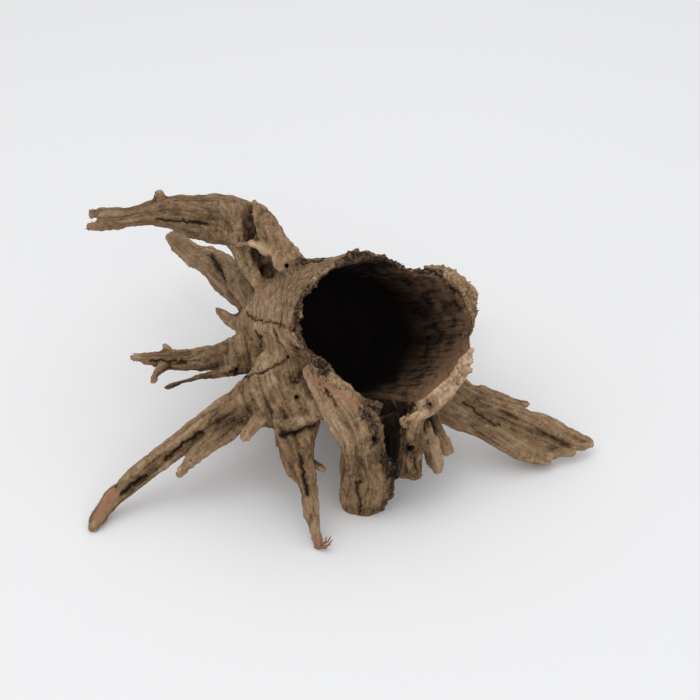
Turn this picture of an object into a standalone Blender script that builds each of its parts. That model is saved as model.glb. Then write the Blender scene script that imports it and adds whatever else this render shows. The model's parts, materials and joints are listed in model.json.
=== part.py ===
"""A dry, hollow root stump: one weathered piece of wood that stands on its root tips.

Metres, +Z up. The origin is on the ground under the middle of the piece. +X runs towards the
broad plank root, and the hollow opens towards -Y, to the right and upwards.
"""

import math
from collections import namedtuple

import bmesh
import bpy
from mathutils import Vector

# The stump's own frame: its axis runs out of the hollow's mouth, ACROSS is its broad side.
MOUTH = Vector((0.039, -0.069, 0.130))
AXIS = Vector((0.495, -0.655, 0.571)).normalized()
ACROSS = Vector((0.868, 0.398, -0.296))
ACROSS = (ACROSS - AXIS * ACROSS.dot(AXIS)).normalized()
UPWARD = AXIS.cross(ACROSS)

# Outside of the stump: (distance along the axis from the mouth, half breadth, half height).
STUMP_RINGS = (
    (-0.146, 0.024, 0.022),
    (-0.136, 0.046, 0.041),
    (-0.116, 0.065, 0.056),
    (-0.090, 0.071, 0.059),
    (-0.060, 0.067, 0.056),
    (-0.030, 0.064, 0.054),
    (0.000, 0.062, 0.054),
)
MOUTH_SLANT = 0.27  # the mouth's right side stands further out than its left, per metre
MOUTH_TEETH = ((7, 0.0035, 0.0), (17, 0.0021, 1.0))  # the broken edge: (teeth round the mouth, height, phase)
STUMP_FLUTES = (6, 0.02, 0.5)  # (flutes round the stump, share of its size, phase)
# Lobes of the mouth: (angle from ACROSS towards UPWARD, angular width, how far the edge moves outwards,
# how far it moves along the axis). The first is a thick ear, the second a broken-down stretch.
MOUTH_LOBES = (
    (math.radians(26), 0.30, 0.004, 0.004),
    (math.radians(70), 0.26, -0.008, -0.008),
    (math.radians(180), 0.80, 0.007, 0.002),
)

# Inside of the hollow: (distance along the axis, share of the outer size left open).
HOLLOW_DEPTHS = ((-0.112, 0.42), (-0.100, 0.64), (-0.070, 0.80), (-0.030, 0.88), (0.0, 0.91), (0.05, 0.98))
SPLIT_ANGLE = math.radians(-84)  # the wall is split open at the bottom of the mouth
SPLIT_LENGTH = 0.050
SPLIT_HALF_WIDTH = 0.0110
SPLIT_INNER, SPLIT_OUTER = 0.025, 0.066  # from the stump's axis, so that the wedge passes through the wall
# Along the wedge: (distance along the axis, share of its half width).
SPLIT_RINGS = ((-SPLIT_LENGTH, 0.25), (-0.5 * SPLIT_LENGTH, 0.8), (0.03, 1.2))

# Every root's flat side turns towards FACE.
FACE = Vector((0.0, -0.80, 0.60))

# thickness: depth as a share of breadth; flutes: ridges round the root;
# path: (x, y, z, half breadth) from inside the stump out to the tip.
Root = namedtuple("Root", "thickness flutes path")
ROOTS = {
    "horn": Root(0.80, 5, (
        (-0.034, -0.008, 0.112, 0.0200),
        (-0.055, 0.022, 0.124, 0.0190),
        (-0.072, 0.047, 0.135, 0.0192),
        (-0.091, 0.056, 0.140, 0.0190),
        (-0.108, 0.062, 0.141, 0.0166),
        (-0.126, 0.069, 0.140, 0.0136),
        (-0.147, 0.072, 0.137, 0.0095),
        (-0.167, 0.071, 0.134, 0.0072),
        (-0.186, 0.073, 0.131, 0.0076),
        (-0.197, 0.074, 0.129, 0.0064),
    )),
    "fin": Root(0.70, 3, (
        (-0.023, -0.016, 0.137, 0.0105),
        (-0.033, -0.009, 0.146, 0.0097),
        (-0.042, 0.005, 0.153, 0.0083),
        (-0.050, 0.025, 0.158, 0.0065),
        (-0.059, 0.047, 0.160, 0.0042),
    )),
    "blade": Root(0.42, 3, (
        (-0.062, 0.017, 0.092, 0.0172),
        (-0.083, 0.055, 0.084, 0.0169),
        (-0.103, 0.094, 0.075, 0.0133),
        (-0.121, 0.128, 0.067, 0.0102),
        (-0.135, 0.153, 0.061, 0.0070),
        (-0.143, 0.166, 0.058, 0.0039),
    )),
    "blade_plate": Root(0.50, 3, (
        (-0.060, -0.002, 0.100, 0.0085),
        (-0.074, 0.022, 0.098, 0.0085),
        (-0.084, 0.055, 0.092, 0.0084),
        (-0.097, 0.083, 0.086, 0.0066),
        (-0.110, 0.106, 0.080, 0.0033),
    )),
    "spike": Root(0.80, 3, (
        (-0.065, -0.013, 0.086, 0.0090),
        (-0.081, 0.008, 0.080, 0.0058),
        (-0.094, 0.026, 0.076, 0.0020),
    )),
    "arm": Root(0.80, 4, (
        (-0.048, -0.040, 0.092, 0.0196),
        (-0.069, -0.048, 0.090, 0.0142),
        (-0.086, -0.049, 0.086, 0.0105),
        (-0.105, -0.048, 0.081, 0.0079),
        (-0.124, -0.042, 0.076, 0.0072),
        (-0.141, -0.035, 0.073, 0.0057),
        (-0.154, -0.031, 0.071, 0.0034),
    )),
    "arm_prong": Root(0.90, 3, (
        (-0.126, -0.047, 0.075, 0.0045),
        (-0.134, -0.051, 0.072, 0.0032),
        (-0.137, -0.061, 0.069, 0.0022),
    )),
    "twig": Root(1.00, 3, (
        (-0.054, -0.060, 0.088, 0.0060),
        (-0.080, -0.065, 0.084, 0.0040),
        (-0.097, -0.066, 0.080, 0.0027),
        (-0.114, -0.070, 0.077, 0.0025),
        (-0.127, -0.074, 0.075, 0.0023),
    )),
    "long_leg": Root(0.85, 5, (
        (-0.038, -0.081, 0.088, 0.0220),
        (-0.060, -0.087, 0.076, 0.0154),
        (-0.080, -0.087, 0.064, 0.0103),
        (-0.099, -0.095, 0.052, 0.0092),
        (-0.121, -0.102, 0.038, 0.0085),
        (-0.143, -0.116, 0.026, 0.0085),
        (-0.163, -0.128, 0.014, 0.0066),
        (-0.173, -0.141, 0.006, 0.0056),
        (-0.178, -0.149, 0.000, 0.0046),
    )),
    "web": Root(0.80, 3, (
        (-0.026, -0.056, 0.098, 0.0240),
        (-0.040, -0.082, 0.086, 0.0210),
        (-0.047, -0.098, 0.074, 0.0130),
        (-0.050, -0.106, 0.064, 0.0060),
    )),
    "long_leg_prong": Root(0.80, 3, (
        (-0.053, -0.091, 0.070, 0.0103),
        (-0.073, -0.095, 0.058, 0.0074),
        (-0.093, -0.105, 0.045, 0.0059),
        (-0.106, -0.113, 0.036, 0.0048),
        (-0.114, -0.122, 0.031, 0.0020),
    )),
    "thin_leg": Root(0.80, 4, (
        (-0.020, -0.054, 0.098, 0.0230),
        (-0.026, -0.083, 0.089, 0.0215),
        (-0.027, -0.103, 0.075, 0.0174),
        (-0.026, -0.116, 0.060, 0.0138),
        (-0.022, -0.128, 0.047, 0.0094),
        (-0.019, -0.138, 0.036, 0.0072),
        (-0.017, -0.148, 0.026, 0.0058),
        (-0.014, -0.157, 0.015, 0.0043),
        (-0.011, -0.165, 0.005, 0.0036),
        (-0.010, -0.168, -0.002, 0.0032),
    )),
    "thin_leg_flap": Root(0.60, 3, (
        (-0.033, -0.107, 0.062, 0.0073),
        (-0.034, -0.121, 0.050, 0.0058),
        (-0.028, -0.133, 0.038, 0.0024),
    )),
    "buttress": Root(0.75, 5, (
        (-0.015, -0.091, 0.112, 0.0115),
        (-0.004, -0.102, 0.104, 0.0157),
        (0.009, -0.110, 0.090, 0.0179),
        (0.021, -0.117, 0.070, 0.0180),
        (0.023, -0.120, 0.048, 0.0162),
        (0.025, -0.121, 0.027, 0.0190),
        (0.024, -0.121, 0.010, 0.0185),
        (0.023, -0.121, -0.004, 0.0162),
    )),
    "back_wall": Root(0.45, 3, (
        (0.040, -0.050, 0.085, 0.0200),
        (0.046, -0.072, 0.067, 0.0190),
        (0.050, -0.087, 0.050, 0.0150),
        (0.052, -0.095, 0.036, 0.0080),
    )),
    "root_a": Root(0.90, 3, (
        (0.052, -0.102, 0.088, 0.0090),
        (0.055, -0.113, 0.072, 0.0072),
        (0.055, -0.117, 0.050, 0.0072),
        (0.053, -0.126, 0.032, 0.0045),
    )),
    "root_b": Root(0.90, 3, (
        (0.056, -0.100, 0.084, 0.0080),
        (0.059, -0.116, 0.064, 0.0074),
        (0.063, -0.122, 0.046, 0.0076),
        (0.067, -0.127, 0.033, 0.0050),
    )),
    "root_c": Root(0.80, 3, (
        (0.058, -0.080, 0.086, 0.0080),
        (0.066, -0.100, 0.062, 0.0070),
        (0.072, -0.109, 0.046, 0.0064),
        (0.075, -0.117, 0.030, 0.0034),
    )),
    "root_d": Root(0.80, 3, (
        (0.066, -0.062, 0.080, 0.0090),
        (0.071, -0.088, 0.056, 0.0067),
        (0.080, -0.100, 0.042, 0.0067),
        (0.085, -0.107, 0.033, 0.0044),
    )),
    "lip": Root(0.80, 3, (
        (0.094, -0.056, 0.106, 0.0090),
        (0.078, -0.082, 0.096, 0.0100),
        (0.065, -0.096, 0.088, 0.0090),
        (0.057, -0.103, 0.082, 0.0070),
    )),
    "flange": Root(0.60, 3, (
        (0.096, -0.068, 0.110, 0.0065),
        (0.085, -0.085, 0.101, 0.0072),
        (0.068, -0.102, 0.090, 0.0071),
        (0.052, -0.117, 0.080, 0.0057),
    )),
    "plank": Root(0.50, 4, (
        (0.034, -0.010, 0.066, 0.0200),
        (0.064, -0.033, 0.058, 0.0200),
        (0.090, -0.045, 0.044, 0.0205),
        (0.115, -0.053, 0.033, 0.0195),
        (0.141, -0.057, 0.022, 0.0185),
        (0.164, -0.058, 0.010, 0.0160),
        (0.185, -0.061, 0.008, 0.0095),
        (0.201, -0.056, 0.007, 0.0045),
    )),
    "plank_spike": Root(0.80, 3, (
        (0.110, -0.044, 0.050, 0.0061),
        (0.133, -0.048, 0.043, 0.0038),
        (0.151, -0.047, 0.039, 0.0018),
    )),
    "rear_prop": Root(0.85, 4, (
        (-0.005, 0.018, 0.062, 0.0260),
        (0.006, 0.055, 0.055, 0.0195),
        (0.001, 0.090, 0.040, 0.0140),
        (0.012, 0.120, 0.020, 0.0105),
        (0.022, 0.140, 0.006, 0.0088),
        (0.027, 0.150, -0.003, 0.0072),
    )),
    "rear_prop_prong": Root(0.90, 3, (
        (0.003, 0.080, 0.044, 0.0095),
        (0.026, 0.104, 0.040, 0.0065),
        (0.042, 0.122, 0.034, 0.0034),
    )),
    "rear_left_prop": Root(0.80, 4, (
        (-0.038, 0.030, 0.064, 0.0190),
        (-0.056, 0.062, 0.050, 0.0125),
        (-0.054, 0.092, 0.027, 0.0092),
        (-0.062, 0.110, 0.009, 0.0075),
        (-0.066, 0.118, -0.003, 0.0062),
    )),
    "rear_right_stub": Root(0.80, 4, (
        (0.040, 0.030, 0.062, 0.0230),
        (0.070, 0.058, 0.060, 0.0155),
        (0.084, 0.090, 0.050, 0.0110),
        (0.101, 0.103, 0.041, 0.0085),
    )),
    "rear_burl": Root(0.90, 3, (
        (0.020, 0.000, 0.098, 0.0220),
        (0.028, 0.030, 0.100, 0.0180),
        (0.036, 0.047, 0.098, 0.0110),
    )),
}

ROOT_SIDES = 16
RINGS_PER_SPAN = 3
STUMP_SIDES = 56
FLUTE_DEPTH = 0.09  # of the root's breadth
FLUTE_TWIST = 0.12  # radians from one ring of a root to the next
FLUTE_PHASE = 1.7  # radians from one root to the next
VOXEL = 0.0021  # fuses the roots and the stump into one body
SOFTENING = 3
KEPT_TRIANGLES = 8500
GROUND_SIZE = 0.6
GROUND_DEPTH = 0.04


def clear_scene():
    for thing in list(bpy.data.objects):
        bpy.data.objects.remove(thing)


def between(points, i, t):
    """A point on the smooth curve through the points, a share t of the way from point i to the next."""
    last = len(points) - 1
    a, b, c, d = (Vector(points[min(max(k, 0), last)]) for k in (i - 1, i, i + 1, i + 2))
    return b + 0.5 * t * (c - a + t * (2 * a - 5 * b + 4 * c - d + t * (3 * (b - c) + d - a)))


def loft(bm, rings):
    """Joins rings of points into one closed tube, with a point in the middle of each end."""
    rows = [[bm.verts.new(p) for p in ring] for ring in rings]
    sides = len(rows[0])
    for near, far in zip(rows, rows[1:]):
        for i in range(sides):
            j = (i + 1) % sides
            bm.faces.new((near[i], near[j], far[j], far[i]))
    for row, turned in ((rows[0], True), (rows[-1], False)):
        middle = bm.verts.new(sum((v.co for v in row), Vector()) / sides)
        for i in range(sides):
            a, b = row[i], row[(i + 1) % sides]
            bm.faces.new((b, a, middle) if turned else (a, b, middle))


def add_root(bm, root, phase):
    """One root: an oval, fluted tube along its path, turned so that its broad side meets FACE."""
    stations = []
    for i in range(len(root.path) - 1):
        for step in range(RINGS_PER_SPAN):
            t = step / RINGS_PER_SPAN
            size = root.path[i][3] * (1 - t) + root.path[i + 1][3] * t
            stations.append((between([p[:3] for p in root.path], i, t), size))
    stations.append((Vector(root.path[-1][:3]), root.path[-1][3]))

    rings = []
    for k, (centre, size) in enumerate(stations):
        ahead = stations[min(k + 1, len(stations) - 1)][0]
        behind = stations[max(k - 1, 0)][0]
        along = (ahead - behind).normalized()
        broad = along.cross(FACE).normalized()
        thin = broad.cross(along)
        ring = []
        for n in range(ROOT_SIDES):
            turn = 2 * math.pi * n / ROOT_SIDES
            ridge = 1 + FLUTE_DEPTH * math.cos(root.flutes * turn + phase + FLUTE_TWIST * k)
            ring.append(centre - size * ridge * (broad * math.cos(turn) - thin * root.thickness * math.sin(turn)))
        rings.append(ring)
    loft(bm, rings)


def mouth_lobes(turn):
    """How far the mouth's edge moves outwards and along the axis at an angle."""
    outwards = onwards = 0.0
    for angle, width, out, on in MOUTH_LOBES:
        away = (turn - angle + math.pi) % (2 * math.pi) - math.pi
        share = math.exp(-((away / width) ** 2))
        outwards += out * share
        onwards += on * share
    return outwards, onwards


def stump_point(turn, distance, breadth, height, mouth_share):
    """A point round the stump's axis. mouth_share is 1 at the mouth, whose edge is slanted and ragged."""
    outwards, onwards = mouth_lobes(turn)
    ragged = sum(height * math.sin(count * turn + phase) for count, height, phase in MOUTH_TEETH)
    count, share, phase = STUMP_FLUTES
    flute = 1 + share * math.cos(count * turn + phase)
    reach = distance + mouth_share * (MOUTH_SLANT * breadth * math.cos(turn) + ragged + onwards)
    breadth = breadth * flute + outwards * mouth_share
    height = height * flute + outwards * mouth_share
    return MOUTH + ACROSS * breadth * math.cos(turn) + UPWARD * height * math.sin(turn) + AXIS * reach


def turns(count):
    """Angles round the axis, from -180 to 180 degrees."""
    return [2 * math.pi * n / count - math.pi for n in range(count)]


def ring_size(distance):
    """Half breadth and half height of the stump at a distance along its axis."""
    for low, high in zip(STUMP_RINGS, STUMP_RINGS[1:]):
        if distance <= high[0]:
            t = max(0.0, (distance - low[0]) / (high[0] - low[0]))
            return low[1] + t * (high[1] - low[1]), low[2] + t * (high[2] - low[2])
    return STUMP_RINGS[-1][1:]


def add_stump(bm):
    deepest = STUMP_RINGS[0][0]
    rings = []
    for distance, breadth, height in STUMP_RINGS:
        share = (1 - distance / deepest) ** 2
        rings.append([stump_point(turn, distance, breadth, height, share) for turn in turns(STUMP_SIDES)])
    loft(bm, rings)


def mesh_object(name, fill, hidden=False):
    """A new object from what fill adds to an empty bmesh. A hidden one is a cutter."""
    bm = bmesh.new()
    fill(bm)
    bmesh.ops.recalc_face_normals(bm, faces=bm.faces)
    mesh = bpy.data.meshes.new(name)
    bm.to_mesh(mesh)
    bm.free()
    thing = bpy.data.objects.new(name, mesh)
    bpy.context.scene.collection.objects.link(thing)
    if hidden:
        thing.hide_render = True
        thing.display_type = "WIRE"
    return thing


def add_hollow(bm):
    deepest = HOLLOW_DEPTHS[0][0]
    rings = []
    for distance, share in HOLLOW_DEPTHS:
        breadth, height = ring_size(distance)
        slant = MOUTH_SLANT * max(0.0, 1 - distance / deepest)
        ring = []
        for turn in turns(STUMP_SIDES):
            outwards = mouth_lobes(turn)[0] * max(0.0, 1 - distance / deepest) ** 2
            wide, tall = breadth + outwards, height + outwards
            point = MOUTH + AXIS * (distance + slant * breadth * math.cos(turn))
            ring.append(point + share * (ACROSS * wide * math.cos(turn) + UPWARD * tall * math.sin(turn)))
        rings.append(ring)
    loft(bm, rings)


def add_split(bm):
    """A wedge that opens the bottom of the wall at the mouth and narrows inwards."""
    radial = ACROSS * math.cos(SPLIT_ANGLE) + UPWARD * math.sin(SPLIT_ANGLE)
    side = AXIS.cross(radial)
    rings = []
    corners = ((SPLIT_INNER, -1), (SPLIT_OUTER, -1), (SPLIT_OUTER, 1), (SPLIT_INNER, 1))
    for distance, share in SPLIT_RINGS:
        half = SPLIT_HALF_WIDTH * share
        middle = MOUTH + AXIS * distance
        rings.append([middle + radial * out + side * half * way for out, way in corners])
    loft(bm, rings)


def add_ground(bm):
    """Everything under the standing plane, which trims each foot flat."""
    bmesh.ops.create_cube(bm, size=1.0)
    for v in bm.verts:
        v.co = Vector((v.co.x * GROUND_SIZE, v.co.y * GROUND_SIZE, (v.co.z - 0.5) * GROUND_DEPTH))


def weathered_wood():
    material = bpy.data.materials.new("weathered_wood")
    material.use_nodes = True
    shader = material.node_tree.nodes["Principled BSDF"]
    shader.inputs["Base Color"].default_value = (0.20, 0.14, 0.095, 1.0)
    shader.inputs["Roughness"].default_value = 0.85
    shader.inputs["Metallic"].default_value = 0.0
    return material


def cut(thing, name, cutter):
    modifier = thing.modifiers.new(name, "BOOLEAN")
    modifier.operation = "DIFFERENCE"
    modifier.solver = "EXACT"
    modifier.object = cutter


def fuse(thing, name):
    """Rebuilds a mesh as one closed skin on a grid."""
    modifier = thing.modifiers.new(name, "REMESH")
    modifier.mode = "VOXEL"
    modifier.voxel_size = VOXEL


def triangles_before(thing, modifier):
    """How many triangles reach a modifier, which is switched off while they are counted."""
    modifier.show_viewport = False
    mesh = thing.evaluated_get(bpy.context.evaluated_depsgraph_get()).data
    mesh.calc_loop_triangles()
    modifier.show_viewport = True
    return len(mesh.loop_triangles)


def fill_root(bm):
    add_stump(bm)
    for number, root in enumerate(ROOTS.values()):
        add_root(bm, root, FLUTE_PHASE * number)


def main():
    clear_scene()
    root = mesh_object("dry_root", fill_root)
    root.data.materials.append(weathered_wood())

    fuse(root, "join")
    cut(root, "hollow", mesh_object("hollow_cutter", add_hollow, hidden=True))
    cut(root, "split", mesh_object("split_cutter", add_split, hidden=True))
    fuse(root, "rejoin")
    soften = root.modifiers.new("soften", "SMOOTH")
    soften.factor = 0.5
    soften.iterations = SOFTENING
    thin_out = root.modifiers.new("thin_out", "DECIMATE")
    thin_out.use_collapse_triangulate = True
    thin_out.ratio = KEPT_TRIANGLES / triangles_before(root, thin_out)
    cut(root, "feet", mesh_object("ground_cutter", add_ground, hidden=True))


main()
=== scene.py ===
# %% [markdown]
# # A dry, hollow root
#
# The object is one piece of old wood: the base of a small tree on its side, rotted out inside, with its
# roots broken off at different lengths. Growth shaped it first, then weather and insects. The script goes
# the same way: the grown form as tubes swept along paths and fused into one skin, then what time took away
# as cuts, cracks and holes, and last the grain, as relief on the mesh and as colour in the material.

# %% Frame
import json
import math
from collections import namedtuple

import bmesh
import bpy
import numpy as np
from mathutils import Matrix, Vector
from mathutils.bvhtree import BVHTree

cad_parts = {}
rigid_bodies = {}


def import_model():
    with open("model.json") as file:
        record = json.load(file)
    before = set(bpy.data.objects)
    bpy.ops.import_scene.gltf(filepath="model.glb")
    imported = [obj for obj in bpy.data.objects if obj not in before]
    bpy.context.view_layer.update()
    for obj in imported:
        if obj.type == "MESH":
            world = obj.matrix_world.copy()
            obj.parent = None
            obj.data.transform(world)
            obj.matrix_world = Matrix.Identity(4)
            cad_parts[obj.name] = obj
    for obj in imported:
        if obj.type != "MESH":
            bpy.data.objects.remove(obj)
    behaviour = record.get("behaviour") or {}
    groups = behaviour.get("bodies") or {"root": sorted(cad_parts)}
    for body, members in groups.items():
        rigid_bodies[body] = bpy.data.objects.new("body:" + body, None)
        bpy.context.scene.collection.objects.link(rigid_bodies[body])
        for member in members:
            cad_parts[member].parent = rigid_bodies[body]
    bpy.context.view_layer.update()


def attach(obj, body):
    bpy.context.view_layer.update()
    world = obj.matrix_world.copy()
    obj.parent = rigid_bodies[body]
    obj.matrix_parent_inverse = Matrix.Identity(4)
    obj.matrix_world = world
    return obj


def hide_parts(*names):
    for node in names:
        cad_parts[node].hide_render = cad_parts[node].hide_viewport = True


for thing in list(bpy.data.objects):
    bpy.data.objects.remove(thing)
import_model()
rng = np.random.default_rng(11)

# %% [markdown]
# ## The camera
#
# A small object on a table is seen from above at a slant, from about a metre away. A long lens keeps the
# near roots from looking swollen. The camera comes early, because it needs nothing from the other steps.

# %% Camera
LOOK_AT = Vector((0.012, 0.075, 0.0))
CAMERA_DISTANCE = 1.2766
CAMERA_ELEVATION = math.radians(36.5)
camera_data = bpy.data.cameras.new("camera")
camera_data.lens = 77.14
camera_data.sensor_width = 36.0
camera = bpy.data.objects.new("camera", camera_data)
away = Vector((0.0, -math.cos(CAMERA_ELEVATION), math.sin(CAMERA_ELEVATION)))
camera.location = LOOK_AT + away * CAMERA_DISTANCE
camera.rotation_euler = (-away).to_track_quat("-Z", "Y").to_euler()
bpy.context.scene.collection.objects.link(camera)
bpy.context.scene.camera = camera
print("the camera stands", round(camera.location.z, 2), "m above the floor")

# %% [markdown]
# ## The stump and its roots as numbers
#
# A root is a path with a half breadth at each point, so a short list of points is enough to describe it.
# The thick stump is a stack of ovals along a slanted axis. Everything is in the frame's own coordinates.
# Single sizes are in metres, as Blender wants them, and the long lists of points are in millimetres, which
# are easier to read. Every later step uses them: the skin is swept along them, and the grain follows them.

# %% Stump sizes
MOUTH = np.array((0.039, -0.069, 0.130))
AXIS = np.array((0.495, -0.655, 0.571))
AXIS /= np.linalg.norm(AXIS)
ACROSS = np.array((0.868, 0.398, -0.296))
ACROSS -= AXIS * (ACROSS @ AXIS)
ACROSS /= np.linalg.norm(ACROSS)
UPWARD = np.cross(AXIS, ACROSS)

# Distance along the axis from the mouth, half breadth, half height.
STUMP = np.array((
    (-0.146, 0.024, 0.022),
    (-0.136, 0.046, 0.041),
    (-0.116, 0.065, 0.056),
    (-0.090, 0.071, 0.059),
    (-0.060, 0.067, 0.056),
    (-0.030, 0.064, 0.054),
    (0.000, 0.062, 0.054),
))
# Distance along the axis, share of the stump's size that is hollow.
HOLLOW = np.array((
    (-0.112, 0.42),
    (-0.100, 0.64),
    (-0.070, 0.80),
    (-0.030, 0.88),
    (0.000, 0.91),
    (0.050, 0.98),
))
MOUTH_SLANT = 0.27
# Lobes of the mouth's edge: angle, angular width, how far it moves outwards, how far along the axis.
MOUTH_LOBES = (
    (math.radians(28), 0.34, -0.003, 0.004),
    (math.radians(66), 0.30, -0.010, -0.008),
    (math.radians(180), 0.80, 0.007, 0.002),
    (math.radians(208), 0.22, -0.006, 0.003),
    (math.radians(270), 0.38, 0.011, 0.000),
    (math.radians(352), 0.24, 0.007, 0.000),
)

# %% Root paths
# thickness: depth as a share of breadth. flutes: ridges round the root. torn: how jagged its end is.
Root = namedtuple("Root", "thickness flutes torn path")


def metres(millimetres):
    """The same numbers in metres, rounded so that 19.2 becomes exactly 0.0192."""
    return np.round(np.array(millimetres) / 1000, 7).tolist()


def traced(thickness, flutes, torn, *path):
    """A root from millimetres: how jagged its end is, then x, y, z and half breadth at each point."""
    return Root(thickness, flutes, metres(torn), metres(path))


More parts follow.
